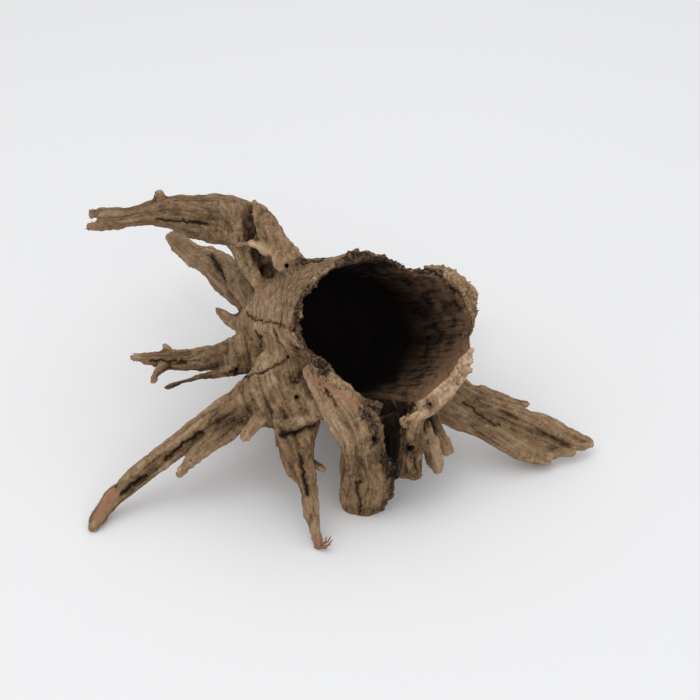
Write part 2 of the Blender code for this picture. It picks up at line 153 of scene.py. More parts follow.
ROOTS = {
    # On the left, from the top down.
    "horn": traced(0.80, 5, 3, (-34, -8, 112, 20), (-55, 22, 125, 19), (-72, 47, 138, 19.2),
        (-91, 56, 140.5, 19), (-108, 62, 141, 16.6), (-126, 69, 140, 13.6), (-147, 72, 137, 9.5),
        (-167, 71, 134, 7.4), (-186, 73, 131, 7.8)),
    "horn_upper_prong": traced(0.80, 3, 2, (-170, 74, 134, 6), (-186, 77, 134, 5.2),
        (-196, 78, 133, 3.8)),
    "horn_lower_prong": traced(0.80, 3, 2, (-170, 71, 130, 6), (-187, 67, 129, 5), (-198, 65, 128, 3.4)),
    "horn_knot": traced(1.00, 3, 0, (-138, 73, 140, 6.6), (-140, 78, 149, 4.6), (-141, 77, 155, 2.6)),
    "fin": traced(0.70, 3, 0, (-23, -16, 137, 10.5), (-33, -9, 146, 9.7), (-42, 5, 153, 8.3),
        (-50, 25, 158, 6.5), (-59, 47, 160, 4.8)),
    "fin_edge": traced(1.00, 2, 0, (-50, 6, 147, 3.4), (-57, 26, 154, 3.2), (-60, 40, 158, 3.2),
        (-62, 52, 163, 2.8)),
    "lip_ridge": traced(0.90, 2, 0, (-74, 15, 144, 2.6), (-66, 10, 148, 3.2), (-59, 7, 149, 3.6),
        (-51, -1, 148, 3.8), (-42, -12, 145, 3.8), (-34, -19, 141, 3.6)),
    "blade": traced(0.42, 3, 3, (-62, 17, 92, 17.2), (-83, 55, 84, 16.9), (-103, 94, 75, 13.3),
        (-123, 127, 64, 9.8), (-137, 152, 60, 8.6), (-145, 166, 60, 6.6)),
    "blade_plate": traced(0.50, 3, 2, (-60, -2, 102, 8.5), (-74, 22, 100, 8.5), (-84, 55, 91, 8.6),
        (-95, 83, 82, 7.2), (-108, 104, 75, 4.8)),
    "spike": traced(0.80, 3, 1, (-65, -13, 86, 9), (-81, 8, 80, 6), (-95, 27, 76, 2.4)),
    "arm": traced(0.80, 4, 4, (-48, -40, 92, 19.6), (-69, -48, 90, 14.2), (-86, -49, 86, 10.5),
        (-105, -48, 81, 8), (-124, -42, 76, 7.4), (-141, -35, 73, 5.6), (-155, -31, 71, 2)),
    "arm_knot": traced(1.00, 3, 0, (-123, -40, 77, 5.2), (-127, -36, 82, 3), (-130, -34, 87, 1.4)),
    "arm_prong": traced(0.90, 3, 0, (-126, -45, 75, 5.2), (-134, -51, 72, 3.6), (-137, -61, 69, 2.8)),
    "twig": traced(1.00, 3, 1, (-54, -60, 88, 6.6), (-80, -65, 84, 4.4), (-97, -66, 80, 3.2),
        (-114, -70, 77, 2.9), (-127, -74, 75, 2.7)),
    # In front: two legs that reach the ground, and the web of wood between them.
    "long_leg": traced(0.85, 5, 0, (-38, -81, 88, 22), (-60, -87, 76, 15.4), (-80, -87, 64, 10.3),
        (-99, -95, 52, 9.2), (-121, -102, 38, 8.5), (-143, -116, 26, 8.5), (-163, -128, 14, 6.6),
        (-173, -141, 6, 5.6), (-178, -149, 1, 4.8)),
    "web": traced(0.80, 3, 3, (-26, -56, 98, 24), (-40, -82, 86, 21), (-47, -98, 74, 13),
        (-50, -106, 64, 6)),
    "web_nub": traced(0.90, 3, 0, (-54, -106, 74, 6.4), (-62, -115, 66, 4.4), (-65, -118, 60, 2.8)),
    "web_rag": traced(0.60, 3, 2, (-14, -106, 90, 8), (-6, -114, 84, 5.2), (1, -119, 80, 2.8)),
    "long_leg_prong": traced(0.80, 3, 2, (-53, -91, 70, 10.3), (-73, -95, 58, 7.6), (-93, -105, 45, 6.2),
        (-106, -113, 36, 5), (-114, -122, 31, 2.8)),
    "thin_leg": traced(0.80, 4, 0, (-20, -54, 98, 23), (-26, -83, 89, 21.5), (-27, -103, 75, 17.4),
        (-26, -116, 60, 13.8), (-22, -128, 47, 9.4), (-19, -138, 36, 7.2), (-17, -148, 26, 6),
        (-14, -157, 15, 4.8), (-11, -163, 5, 4.2), (-10, -166, -2, 4)),
    "thin_leg_flap": traced(0.55, 3, 2, (-34, -106, 66, 8), (-36, -119, 56, 6.4), (-31, -131, 45, 4.4),
        (-26, -139, 39, 2.4)),
    "thin_leg_nub": traced(0.90, 3, 0, (-20, -117, 42, 5.2), (-11, -121, 39, 4), (-6, -124, 36, 2.6)),
    # Under the mouth: the front foot, the wood deep in the gap beside it, and short broken roots.
    "buttress": traced(0.75, 5, 0, (-15, -91, 112, 11.5), (-4, -102, 104, 15.7), (8, -110, 90, 17.9),
        (18, -117, 70, 17.6), (22, -120, 48, 15), (25, -121, 27, 19), (24, -120, 10, 18.8),
        (23, -118, -16, 17)),
    "foot_corner": traced(0.90, 4, 0, (15, -113, 49, 7.6), (13.5, -114, 36, 8.4), (12.5, -114, 18, 8.8),
        (12, -113, -8, 8.8)),
    "slot_root": traced(0.80, 3, 3, (44, -92, 74, 7), (47, -108, 52, 7), (47, -114, 40, 6.2),
        (47, -119, 26, 3.6)),
    "back_wall": traced(0.45, 3, 3, (38, -50, 83, 20), (42, -72, 65, 19), (42, -88, 48, 17.5),
        (43, -100, 33, 12), (44, -106, 23, 7)),
    "root_a": traced(0.90, 3, 3, (56, -112, 74, 5.8), (54, -115, 64, 6.4), (53, -118, 50, 7),
        (51, -126, 32, 4.8)),
    "root_b": traced(0.90, 3, 3, (59, -112, 73, 5.6), (58.5, -117, 62, 6.4), (57, -122, 46, 7),
        (60, -127, 33, 5)),
    "root_c": traced(0.42, 5, 3, (58, -80, 86, 7), (67, -101, 62, 6.2), (71, -108, 48, 8),
        (74, -113, 37, 7.4), (77, -117, 29, 4.8)),
    "root_d": traced(0.50, 5, 3, (66, -62, 80, 9), (73, -88, 56, 6), (81, -98, 43, 6.2),
        (86, -104, 35, 5)),
    # The flared lower right edge of the mouth.
    "lip": traced(0.80, 3, 2, (94, -56, 106, 9), (78, -82, 96, 10), (65, -96, 88, 9), (57, -103, 82, 7)),
    "flange": traced(0.60, 3, 0, (98, -66, 106, 5.5), (91, -77, 92, 8.5), (82, -87, 86, 10),
        (73, -96, 82, 10), (63, -106, 81, 8.2), (54, -115, 79, 5.2), (47, -120, 79, 3.2)),
    "flange_neck": traced(0.80, 3, 0, (60, -108, 80, 7), (56, -115, 74, 6.2), (56, -118, 66, 6.4),
        (58, -118, 52, 6.2)),
    # On the right, a flat root with a forked end.
    "plank": traced(0.50, 4, 3, (34, -10, 66, 20), (64, -33, 58, 20), (90, -45, 44, 20.5),
        (115, -54, 33, 18.5), (139, -63, 21, 16.5), (158, -67, 14, 13), (172, -68, 13, 8.4),
        (186, -69, 10, 4)),
    "plank_prong": traced(0.75, 3, 1, (112, -52, 46, 5.8), (142, -60, 39, 6.2), (158, -61, 31, 7.8),
        (174, -62, 21, 8), (190, -60, 12, 6), (200, -59, 10, 3)),
    "plank_toe": traced(0.45, 3, 3, (92, -44, 36, 6), (113, -60, 30, 10.2), (137, -73, 21, 11),
        (155, -77, 12, 9.2), (165, -79, 9, 6)),
    "plank_spike": traced(0.80, 3, 1, (110, -44, 50, 6.4), (133, -48, 43, 4.2), (151, -47, 39, 2.4)),
    # Behind: two roots that reach the ground, a stub and a burl.
    "rear_prop": traced(0.85, 4, 0, (-5, 18, 62, 26), (6, 55, 55, 19.5), (1, 90, 40, 14),
        (12, 120, 20, 10.5), (22, 140, 6, 8.8), (27, 150, -3, 7.2)),
    "rear_prop_prong": traced(0.90, 3, 2, (3, 80, 44, 9.5), (26, 104, 40, 6.5), (42, 122, 34, 3.8)),
    "rear_left_prop": traced(0.80, 4, 0, (-38, 30, 64, 19), (-56, 62, 50, 12.5), (-54, 92, 27, 9.2),
        (-62, 110, 9, 7.5), (-66, 118, -3, 6.2)),
    "rear_right_stub": traced(0.80, 4, 3, (40, 30, 62, 23), (70, 58, 60, 15.5), (84, 90, 50, 11),
        (101, 103, 41, 8.5)),
    "rear_burl": traced(0.90, 3, 0, (20, 0, 98, 22), (28, 30, 100, 18), (36, 47, 98, 11)),
    # A ledge across the top of the thin leg.
    "skirt": traced(0.80, 3, 0, (-44, -110, 77, 3.4), (-35, -117, 76.5, 4.6), (-26, -118.5, 79.5, 4.8),
        (-18, -116.5, 81, 4.6), (-10, -112.5, 81, 5), (-3, -112.5, 82, 3.6)),
}
print(len(ROOTS), "roots and smaller growths")

# %% [markdown]
# ## Paths and rings
#
# A smooth curve through a path's points gives the middle of each ring, and three directions at each step
# say how the oval ring is turned. Every root here is flattened towards the same side, so one fixed
# direction keeps the rings from twisting. A spline could be bevelled instead, but its section would be the
# same all along, and a root is thick, fluted and knotted in a new way at every step.

# %% Paths
FACE = np.array((0.0, -0.80, 0.60))


def unit(vectors):
    return vectors / np.maximum(np.linalg.norm(vectors, axis=-1, keepdims=True), 1e-9)


def smooth_path(path, step):
    """Rows about one step apart on a smooth curve through the path. Every column is carried along."""
    path = np.array(path, float)
    padded = np.vstack([path[:1], path, path[-1:]])
    rows = []
    for a, b, c, d in zip(padded, padded[1:], padded[2:], padded[3:]):
        count = max(2, round(float(np.linalg.norm((c - b)[:3])) / step))
        t = np.arange(count)[:, None] / count
        rows.append(b + 0.5 * t * (c - a + t * (2 * a - 5 * b + 4 * c - d + t * (3 * (b - c) + d - a))))
    rows.append(path[-1:])
    return np.vstack(rows)


def path_frames(points):
    """The directions along, across the broad side and across the thin side at each point."""
    along = unit(np.gradient(points, axis=0))
    broad = unit(np.cross(along, FACE))
    return along, broad, np.cross(broad, along)


def waves(turn, counts):
    """A few waves of random phase round a ring, between -1 and 1."""
    return sum(np.sin(count * turn + rng.uniform(0, 2 * math.pi)) for count in counts) / len(counts)


# %% Root rings
SKIN_STEP = 0.0022
FLUTE_DEPTH = 0.09
LUMP_DEPTH = 0.06


def root_rings(root):
    """The rings of one root. A torn end is a jagged crown, and a worn one is rounded off."""
    path = smooth_path(root.path, SKIN_STEP)
    points, size = path[:, :3], path[:, 3]
    along, broad, thin = path_frames(points)
    sides = int(np.clip(2 * math.pi * size.max() / SKIN_STEP, 14, 60))
    turn = np.linspace(0, 2 * math.pi, sides, endpoint=False)
    to_tip = np.linalg.norm(points - points[-1], axis=1)
    if root.torn == 0.0:
        rounding = np.clip(1 - to_tip / np.maximum(size, 1e-4), 0, 1)
        size = size * np.sqrt(np.clip(1 - 0.9 * rounding**2, 0.05, 1))
    twist = 12.0 * to_tip[:, None]
    phases = rng.uniform(0, 2 * math.pi, 3)
    ridge = 1 + FLUTE_DEPTH * np.cos(root.flutes * turn + phases[0] + twist)
    ridge += LUMP_DEPTH * np.cos((root.flutes - 1) * turn + phases[1] - 2 * twist)
    ridge += LUMP_DEPTH * np.cos(turn + phases[2] + 90 * to_tip[:, None])
    around = broad[:, None] * np.cos(turn)[:, None]
    around = around - thin[:, None] * (root.thickness * np.sin(turn))[:, None]
    rings = points[:, None] - (size[:, None] * ridge)[..., None] * around
    jag = root.torn * waves(turn, (2, 5, 9))
    rings[-1] += along[-1] * jag[:, None]
    rings[-2] += along[-2] * (0.6 * jag)[:, None]
    return rings


print("the horn has", len(root_rings(ROOTS["horn"])), "rings")

# %% [markdown]
# ## The stump's rings
#
# The stump is swept like a root, but its mouth is what everyone looks at. The edge stands further out on
# one side, an ear grows out of it, a stretch is broken down, and teeth of every size run round it. Each
# is a small sum added to the last rings, so that they can be changed one by one.

# %% Stump rings
STUMP_SIDES = 230
STUMP_STEP = 0.0024
# The broken edge: teeth round the mouth, their height, phase.
BROAD_TEETH = ((7, 0.0035, 0.0), (17, 0.0021, 1.0))
FINE_TEETH = ((29, 0.0020, 0.4), (43, 0.0018, 2.0), (71, 0.0015, 4.0), (97, 0.0010, 1.3))
# The fine teeth are highest round one angle of the mouth.
TORN_ANGLE, TORN_WIDTH = math.radians(80), 0.7
LEAST_TORN, MORE_TORN = 0.4, 1.9


def mouth_lobes(turn):
    """How far the mouth's edge moves outwards and along the axis at each angle."""
    outwards, onwards = np.zeros_like(turn), np.zeros_like(turn)
    for angle, width, out, on in MOUTH_LOBES:
        share = np.exp(-(((turn - angle + math.pi) % (2 * math.pi) - math.pi) / width) ** 2)
        outwards += out * share
        onwards += on * share
    return outwards, onwards


def stump_size(distance):
    return np.interp(distance, STUMP[:, 0], STUMP[:, 1]), np.interp(distance, STUMP[:, 0], STUMP[:, 2])


def oval(turn, distance, breadth, height, reach):
    """A ring of points round the stump's axis."""
    sideways = ACROSS * (breadth * np.cos(turn))[:, None] + UPWARD * (height * np.sin(turn))[:, None]
    return MOUTH + sideways + AXIS * (distance + reach)[:, None]


def teeth(turn, rows):
    return sum(height * np.sin(count * turn + phase) for count, height, phase in rows)


# The ear is a thick roll on the mouth's outer edge: angle round the mouth, half breadth.
EAR = tuple((math.radians(angle), size) for angle, size in (
    (56, 0.0026), (48, 0.0038), (40, 0.0052), (32, 0.0070), (24, 0.0088), (17, 0.0090), (11, 0.0044),
    (4, 0.0022)))
EAR_OUTWARDS = 0.0035


def ear_path():
    turn, size = np.array(EAR).T
    breadth, height = stump_size(0.0)
    outwards, onwards = mouth_lobes(turn)
    reach = MOUTH_SLANT * breadth * np.cos(turn) + onwards - 0.5 * size
    middle = oval(turn, 0.0, breadth + outwards + EAR_OUTWARDS, height + outwards + EAR_OUTWARDS, reach)
    return Root(0.85, 4, 0.0, np.column_stack([middle, size]))


def stump_rings():
    turn = np.linspace(-math.pi, math.pi, STUMP_SIDES, endpoint=False)
    outwards, onwards = mouth_lobes(turn)
    deepest = STUMP[0, 0]
    torn_top = LEAST_TORN + MORE_TORN * np.exp(-((turn - TORN_ANGLE) / TORN_WIDTH) ** 2)
    rings = []
    for distance in np.arange(deepest, 1e-9, STUMP_STEP):
        share = (1 - distance / deepest) ** 2
        breadth, height = stump_size(distance)
        flute = 1 + 0.02 * np.cos(6 * turn + 0.5) + 0.006 * np.cos(19 * turn + 40 * distance)
        reach = share * (MOUTH_SLANT * breadth * np.cos(turn) + teeth(turn, BROAD_TEETH) + onwards)
        reach += share**30 * torn_top * teeth(turn, FINE_TEETH)
        crumbs = 0.5 * share**20 * torn_top * teeth(turn + 2.0, FINE_TEETH)
        rings.append(oval(turn, distance, breadth * flute + outwards * share + crumbs,
                          height * flute + outwards * share + crumbs, reach))
    return np.array(rings)


print("the stump has", len(stump_rings()), "rings of", STUMP_SIDES, "points")

# %% [markdown]
# ## One skin
#
# The tubes overlap where they meet. A union would keep every crease between them, but in living wood one
# root runs into the next. So a voxel remesh rebuilds all of them as one even skin, and the creases are
# then smoothed where two roots are equally near, and nowhere else.

# %% Mesh helpers
def loft(rings):
    """Vertices and faces of a closed tube through the rings, with a point in the middle of each end."""
    rings = np.asarray(rings)
    count, sides, _ = rings.shape
    points = np.vstack([rings.reshape(-1, 3), rings[0].mean(0)[None], rings[-1].mean(0)[None]])
    i = np.arange(sides)
    j = (i + 1) % sides
    faces = []
    for k in range(count - 1):
        near, far = k * sides, (k + 1) * sides
        faces += np.stack([near + i, near + j, far + j, far + i], 1).tolist()
    last = (count - 1) * sides
    faces += np.stack([j, i, np.full(sides, count * sides)], 1).tolist()
    faces += np.stack([last + i, last + j, np.full(sides, count * sides + 1)], 1).tolist()
    return points, faces


def volume(points, faces):
    """Signed volume inside closed faces. It is negative where they are inside out."""
    total = 0.0
    for corners in (3, 4):
        some = np.array([face for face in faces if len(face) == corners])
        if len(some):
            for k in range(1, corners - 1):
                a, b, c = points[some[:, 0]], points[some[:, k]], points[some[:, k + 1]]
                total += np.einsum("ij,ij->", a, np.cross(b, c)) / 6
    return total


wood = bpy.data.materials.new("dry_wood")


def mesh_piece(name, shapes):
    """One wooden object from several closed shapes, each turned so that its faces point outwards."""
    points, faces, base = [], [], 0
    for shape_points, shape_faces in shapes:
        turned = -1 if volume(shape_points, shape_faces) < 0 else 1
        points.append(shape_points)
        faces += [[base + corner for corner in face[::turned]] for face in shape_faces]
        base += len(shape_points)
    mesh = bpy.data.meshes.new(name)
    mesh.from_pydata(np.vstack(points).tolist(), [], faces)
    mesh.materials.append(wood)
    piece = bpy.data.objects.new(name, mesh)
    bpy.context.scene.collection.objects.link(piece)
    return piece


def settle(piece):
    """Replaces the piece's mesh with what its modifiers make of it."""
    depsgraph = bpy.context.evaluated_depsgraph_get()
    mesh = bpy.data.meshes.new_from_object(
        piece.evaluated_get(depsgraph), preserve_all_data_layers=True, depsgraph=depsgraph
    )
    piece.modifiers.clear()
    piece.data, worn_out = mesh, piece.data
    bpy.data.meshes.remove(worn_out)


def read_all(items, name, width, kind=np.float32):
    """One row of numbers for every item of a mesh, such as the place of every vertex."""
    flat = np.empty(width * len(items), kind)
    items.foreach_get(name, flat)
    return flat.reshape(-1, width)


def vertex_points(mesh):
    return read_all(mesh.vertices, "co", 3).astype(float)


def vertex_normals(mesh):
    return read_all(mesh.vertices, "normal", 3).astype(float)


def fuse(piece, voxel):
    modifier = piece.modifiers.new("fuse", "REMESH")
    modifier.mode = "VOXEL"
    modifier.voxel_size = voxel
    settle(piece)


def cut(piece, cutter):
    """Takes the cutter's closed shapes away from the piece, and says if nothing was cut."""
    before = len(piece.data.vertices)
    modifier = piece.modifiers.new("cut", "BOOLEAN")
    modifier.operation = "DIFFERENCE"
    modifier.solver = "MANIFOLD"
    modifier.object = cutter
    settle(piece)
    if len(piece.data.vertices) == before:
        print("WARNING: nothing was cut by", cutter.name)
    bpy.data.objects.remove(cutter)


# %% Fused root
FIRST_VOXEL = 0.0019
ROOTS["ear"] = ear_path()
root = mesh_piece("root", [loft(stump_rings())] + [loft(root_rings(r)) for r in ROOTS.values()])
fuse(root, FIRST_VOXEL)
print("the fused skin has", len(root.data.polygons), "faces")

# %% [markdown]
# ## What rot took away
#
# Heartwood rots first, so the trunk became a tube. Its inner wall follows the stump, with ridges along
# the axis where harder wood was left. The wall is split open under the mouth, and a knot hole opens
# under the ridge beside the horn. Closed shapes are cut from the skin, and a second remesh makes the
# broken edges as even as the rest.

# %% Hollow
HOLLOW_STEP = 0.003


def hollow_rings():
    turn = np.linspace(-math.pi, math.pi, STUMP_SIDES, endpoint=False)
    lobes = mouth_lobes(turn)[0]
    deepest = HOLLOW[0, 0]
    rings = []
    for distance in np.arange(deepest, HOLLOW[-1, 0] + 1e-9, HOLLOW_STEP):
        share = np.interp(distance, HOLLOW[:, 0], HOLLOW[:, 1])
        near_mouth = max(0.0, 1 - distance / deepest)
        breadth, height = stump_size(distance)
        ridges = 0.005 * np.sin(23 * turn + 25 * distance) + 0.004 * np.sin(41 * turn - 30 * distance)
        ridges += 0.014 * np.sin(9 * turn + 60 * distance + 1.0)
        share = share * (1 + ridges)
        reach = MOUTH_SLANT * near_mouth * breadth * np.cos(turn)
        outwards = lobes * near_mouth**2
        rings.append(oval(turn, distance, share * (breadth + outwards), share * (height + outwards), reach))
    return np.array(rings)


cut(root, mesh_piece("hollow", [loft(hollow_rings())]))

# %% Split and knot hole
SPLIT_ANGLE = math.radians(-84)
SPLIT_HALF_WIDTH = 0.0110
SPLIT_INNER, SPLIT_OUTER = 0.025, 0.066
# Distance along the axis, share of the half width.
SPLIT = ((-0.050, 0.25), (-0.035, 0.62), (-0.020, 0.85), (0.0, 0.95), (0.030, 1.2))


def split_rings():
    radial = ACROSS * math.cos(SPLIT_ANGLE) + UPWARD * math.sin(SPLIT_ANGLE)
    side = np.cross(AXIS, radial)
    rings = []
    for distance, share in SPLIT:
        half = SPLIT_HALF_WIDTH * share
        middle = MOUTH + AXIS * distance
        corners = ((SPLIT_INNER, -1), (SPLIT_OUTER, -1), (SPLIT_OUTER, 1), (SPLIT_INNER, 1))
        rings.append([middle + radial * out + side * half * way for out, way in corners])
    return rings


# A dip between the horn and the fin with its shallow side, a groove in the plank, the knot hole beside the
# ridge, its deep end that turns inwards, a gap in the thin leg, and a corner broken off the front foot.
HOLES = (
    traced(1.7, 2, 0, (-65.5, 62, 156, 3.4), (-66, 50, 155, 5.2), (-66.5, 40, 152, 6.2),
        (-66, 31, 146, 5.8), (-66, 25, 141, 4)),
    traced(0.9, 2, 0, (-70, 56, 160, 4), (-70.5, 46, 159, 7), (-71, 36, 156, 8), (-71, 27, 150, 8.4),
        (-70, 22, 145, 5)),
    traced(0.9, 2, 0, (126.2, -60.8, 42.8, 1.2), (136.2, -63.3, 39, 2), (147.6, -67, 35, 2.4),
        (160.2, -68, 28, 2.4), (173, -68.8, 19.6, 2.6), (184, -69, 14.5, 2.4)),
    traced(1.0, 3, 0, (-64, 19, 137, 2.2), (-59, 14, 135.5, 4.4), (-54.5, 7.5, 133.8, 6.6),
        (-50, 1, 131, 7.4), (-46, -4, 128, 5)),
    traced(0.9, 3, 0, (-56, -22, 152, 5), (-51, -8, 140, 7.8), (-50, 2, 132, 7), (-52, 12, 122, 4)),
    traced(0.7, 3, 0, (-34, -130, 54, 1.6), (-30, -134, 46, 2.6), (-26, -140, 38, 1.4)),
    traced(1.0, 4, 0, (53, -160, -2, 11), (52, -140, 0, 13), (50, -115, 1, 13), (50, -95, 0, 11)),
)
cut(root, mesh_piece("split", [loft(split_rings())]))
for hole in HOLES:
    cut(root, mesh_piece("hole", [loft(root_rings(hole))]))
SECOND_VOXEL = 0.00152
fuse(root, SECOND_VOXEL)
print("the cut and fused skin has", len(root.data.polygons), "faces")

# %% [markdown]
# ## Which root is nearest
#
# Fibres run along each root, so the grain needs to know, at every point, which root it belongs to and how
# far along it lies. The answer comes from the same paths that made the skin. Where two roots are about
# equally near, both are kept with a share each, so that one grain can fade into the other.

# %% Nearest roots
Station = namedtuple("Station", "points size thickness along broad thin length")
MEASURE_STEP = 0.007
BLEND_WIDTH = 0.30
# The body beside the mouth: its fibres run from the horn round to the legs, not along the trunk.
SHOULDER = traced(1.0, 3, 0, (-60, 30, 128, 45), (-54, -10, 124, 46), (-48, -45, 116, 46),
    (-38, -85, 92, 40), (-27, -103, 70, 30))


def station(root_path):
    path = smooth_path(root_path.path, MEASURE_STEP)
    points = path[:, :3]
    steps = np.linalg.norm(np.diff(points, axis=0), axis=1)
    return Station(points, path[:, 3], root_path.thickness, *path_frames(points),
                   np.concatenate([[0.0], np.cumsum(steps)]))


def from_path(points, path):
    """For each point: its distance from the path in root sizes, and its place along and across the root."""
    nearest = np.full(len(points), np.inf)
    which = np.zeros(len(points), int)
    share = np.zeros(len(points))
    for k, step in enumerate(np.diff(path.points, axis=0)):
        t = np.clip((points - path.points[k]) @ step / (step @ step), 0, 1)
        gap = ((points - path.points[k] - t[:, None] * step) ** 2).sum(1)
        closer = gap < nearest
        nearest[closer], which[closer], share[closer] = gap[closer], k, t[closer]

    def between(rows):
        share_here = share if rows.ndim == 1 else share[:, None]
        return rows[which] * (1 - share_here) + rows[which + 1] * share_here

    offset = points - between(path.points)
    on = (offset * between(path.along)).sum(1)
    wide = (offset * between(path.broad)).sum(1)
    deep = (offset * between(path.thin)).sum(1)
    ratio = np.sqrt(wide**2 + (deep / path.thickness) ** 2 + on**2) / between(path.size)
    return ratio, np.stack([between(path.length) + on, wide, deep], 1)


MOUTH_MARGIN = 0.02
END_FADE = 0.05


def from_stump(points):
    """The same for the stump, and how far through its wall each point lies: under 1 is inside."""
    offset = points - MOUTH
    place = np.stack([offset @ AXIS, offset @ ACROSS, offset @ UPWARD], 1)
    breadth, height = stump_size(place[:, 0])
    turn = np.arctan2(place[:, 2] / height, place[:, 1] / breadth)
    outwards = mouth_lobes(turn)[0] * np.clip(1 - place[:, 0] / STUMP[0, 0], 0, 1) ** 2
    ratio = np.hypot(place[:, 1] / (breadth + outwards), place[:, 2] / (height + outwards))
    beyond = np.clip(STUMP[0, 0] - place[:, 0], 0, None) + np.clip(place[:, 0] - MOUTH_MARGIN, 0, None)
    return ratio + beyond / END_FADE, place


GRAIN_PATHS = [station(r) for r in ROOTS.values()] + [station(SHOULDER)]
GRAIN_SPACING = 0.7
# How far past the hollow's own surface its wall still counts, and over how much of that it fades out.
WALL_MARGIN, WALL_FADE = 0.055, 0.035
HOLLOW_BACK, HOLLOW_FRONT = -0.128, 0.06
# Painted shade in the hollow grows darker over this depth from the mouth.
HOLLOW_SHADE_DEPTH = 0.11


def inside_hollow(points):
    """From 0 outside to 1 on the inner wall, and how deep in the hollow the point is, from 0 to 1."""
    ratio, place = from_stump(points)
    share = np.interp(place[:, 0], HOLLOW[:, 0], HOLLOW[:, 1])
    inner = np.clip((share + WALL_MARGIN - ratio) / WALL_FADE, 0, 1)
    inner *= (place[:, 0] > HOLLOW_BACK) & (place[:, 0] < HOLLOW_FRONT)
    return inner, np.clip(-place[:, 0] / HOLLOW_SHADE_DEPTH, 0, 1)


def two_nearest(points):
    """The numbers of the two nearest roots at each point. The stump is the last number."""
    stump = len(GRAIN_PATHS)
    ratios = np.full((stump + 1, len(points)), 9.0)
    for n, path in enumerate(GRAIN_PATHS):
        reach = 2.5 * path.size.max()
        low, high = path.points.min(0) - reach, path.points.max(0) + reach
        close = np.flatnonzero(((points > low) & (points < high)).all(1))
        if len(close):
            ratios[n, close] = from_path(points[close], path)[0]
    ratios[stump] = from_stump(points)[0]
    chosen = np.argsort(ratios, axis=0)[:2]
    chosen[:, inside_hollow(points)[0] > 0.5] = stump
    return chosen


def grain_at(points, chosen):
    """Places along the two chosen roots, and the share of the second."""
    ratios = np.zeros(chosen.shape)
    places = np.zeros((*chosen.shape, 3))
    for row in (0, 1):
        for n in np.unique(chosen[row]):
            here = chosen[row] == n
            on_stump = n == len(GRAIN_PATHS)
            found = from_stump(points[here]) if on_stump else from_path(points[here], GRAIN_PATHS[n])
            ratios[row, here], places[row, here] = found
            places[row, here, 0] += GRAIN_SPACING * n
    gap = np.clip((ratios[1] - ratios[0]) / BLEND_WIDTH, 0, 1)
    return places[0], places[1], 0.5 * (1 - gap * gap * (3 - 2 * gap))


def set_attribute(mesh, name, values, domain="POINT"):
    kind, field = ("FLOAT", "value") if values.ndim == 1 else ("FLOAT_VECTOR", "vector")
    if name in mesh.attributes:
        mesh.attributes.remove(mesh.attributes[name])
    attribute = mesh.attributes.new(name, kind, domain)
    attribute.data.foreach_set(field, np.ascontiguousarray(values, np.float32).ravel())


def keep_grain(mesh, grain, domain="POINT"):
    """Stores what grain_at found."""
    for name, values in zip(("grain_a", "grain_b", "grain_share"), grain):
        set_attribute(mesh, name, values, domain)


# %% Softened joins
JOIN_ROUNDS = 16
ALL_ROUNDS = 1


def soften(piece, rounds, group=""):
    modifier = piece.modifiers.new("soften", "SMOOTH")
    modifier.factor = 0.5
    modifier.iterations = rounds
    modifier.vertex_group = group
    settle(piece)


skin_points = vertex_points(root.data)
grain_share = grain_at(skin_points, two_nearest(skin_points))[2]
in_hollow = inside_hollow(skin_points)[0]
joins = root.vertex_groups.new(name="joins")
weights = np.clip(2.4 * grain_share, 0, 1) * (1 - in_hollow)
for level in range(1, 11):
    members = np.flatnonzero(np.round(weights * 10) == level)
    joins.add(members.tolist(), level / 10, "REPLACE")
soften(root, JOIN_ROUNDS, "joins")
soften(root, ALL_ROUNDS)
root.vertex_groups.clear()
print("joins cover", round(100 * float((weights > 0.1).mean())), "% of the skin")

# %% [markdown]
# ## Node trees as expressions
#
# Both the relief and the colour are sums of noises. A sum is easier to read as one line of Python than as
# twenty placed nodes, so a small class stands for a socket, and adding or multiplying two of them adds the
# Math node that does it. The same class serves geometry and shader trees.

# %% Node expressions
class Value:
    """An output socket of a node tree. Arithmetic on it adds Math nodes to the tree."""

    def __init__(self, tree, socket):
        self.tree = tree
        self.socket = socket

    def maths(self, operation, *others):
        sockets = dict(enumerate((self, *others)))
        return self.tree.node("ShaderNodeMath", {"operation": operation}, sockets)

    def __add__(self, other):
        return self.maths("ADD", other)

    def __mul__(self, other):
        return self.maths("MULTIPLY", other)

    def __sub__(self, other):
        return self.maths("SUBTRACT", other)

    def __rsub__(self, other):
        return self.tree.node("ShaderNodeMath", {"operation": "SUBTRACT"}, {0: other, 1: self})

    __radd__ = __add__
    __rmul__ = __mul__

    def apart(self, other):
        """The distance between two numbers."""
        return (self - other).maths("ABSOLUTE")

    def rise(self, low, high):
        """0 below low, 1 above high, and smooth between them."""
        limits = {"Value": self, "From Min": low, "From Max": high}
        return self.tree.node("ShaderNodeMapRange", {"interpolation_type": "SMOOTHSTEP"}, limits)

    def vector(self, operation, other):
        return self.tree.node("ShaderNodeVectorMath", {"operation": operation}, {0: self, 1: other})

    def scaled(self, factor):
        return self.tree.node("ShaderNodeVectorMath", {"operation": "SCALE"}, {0: self, "Scale": factor})


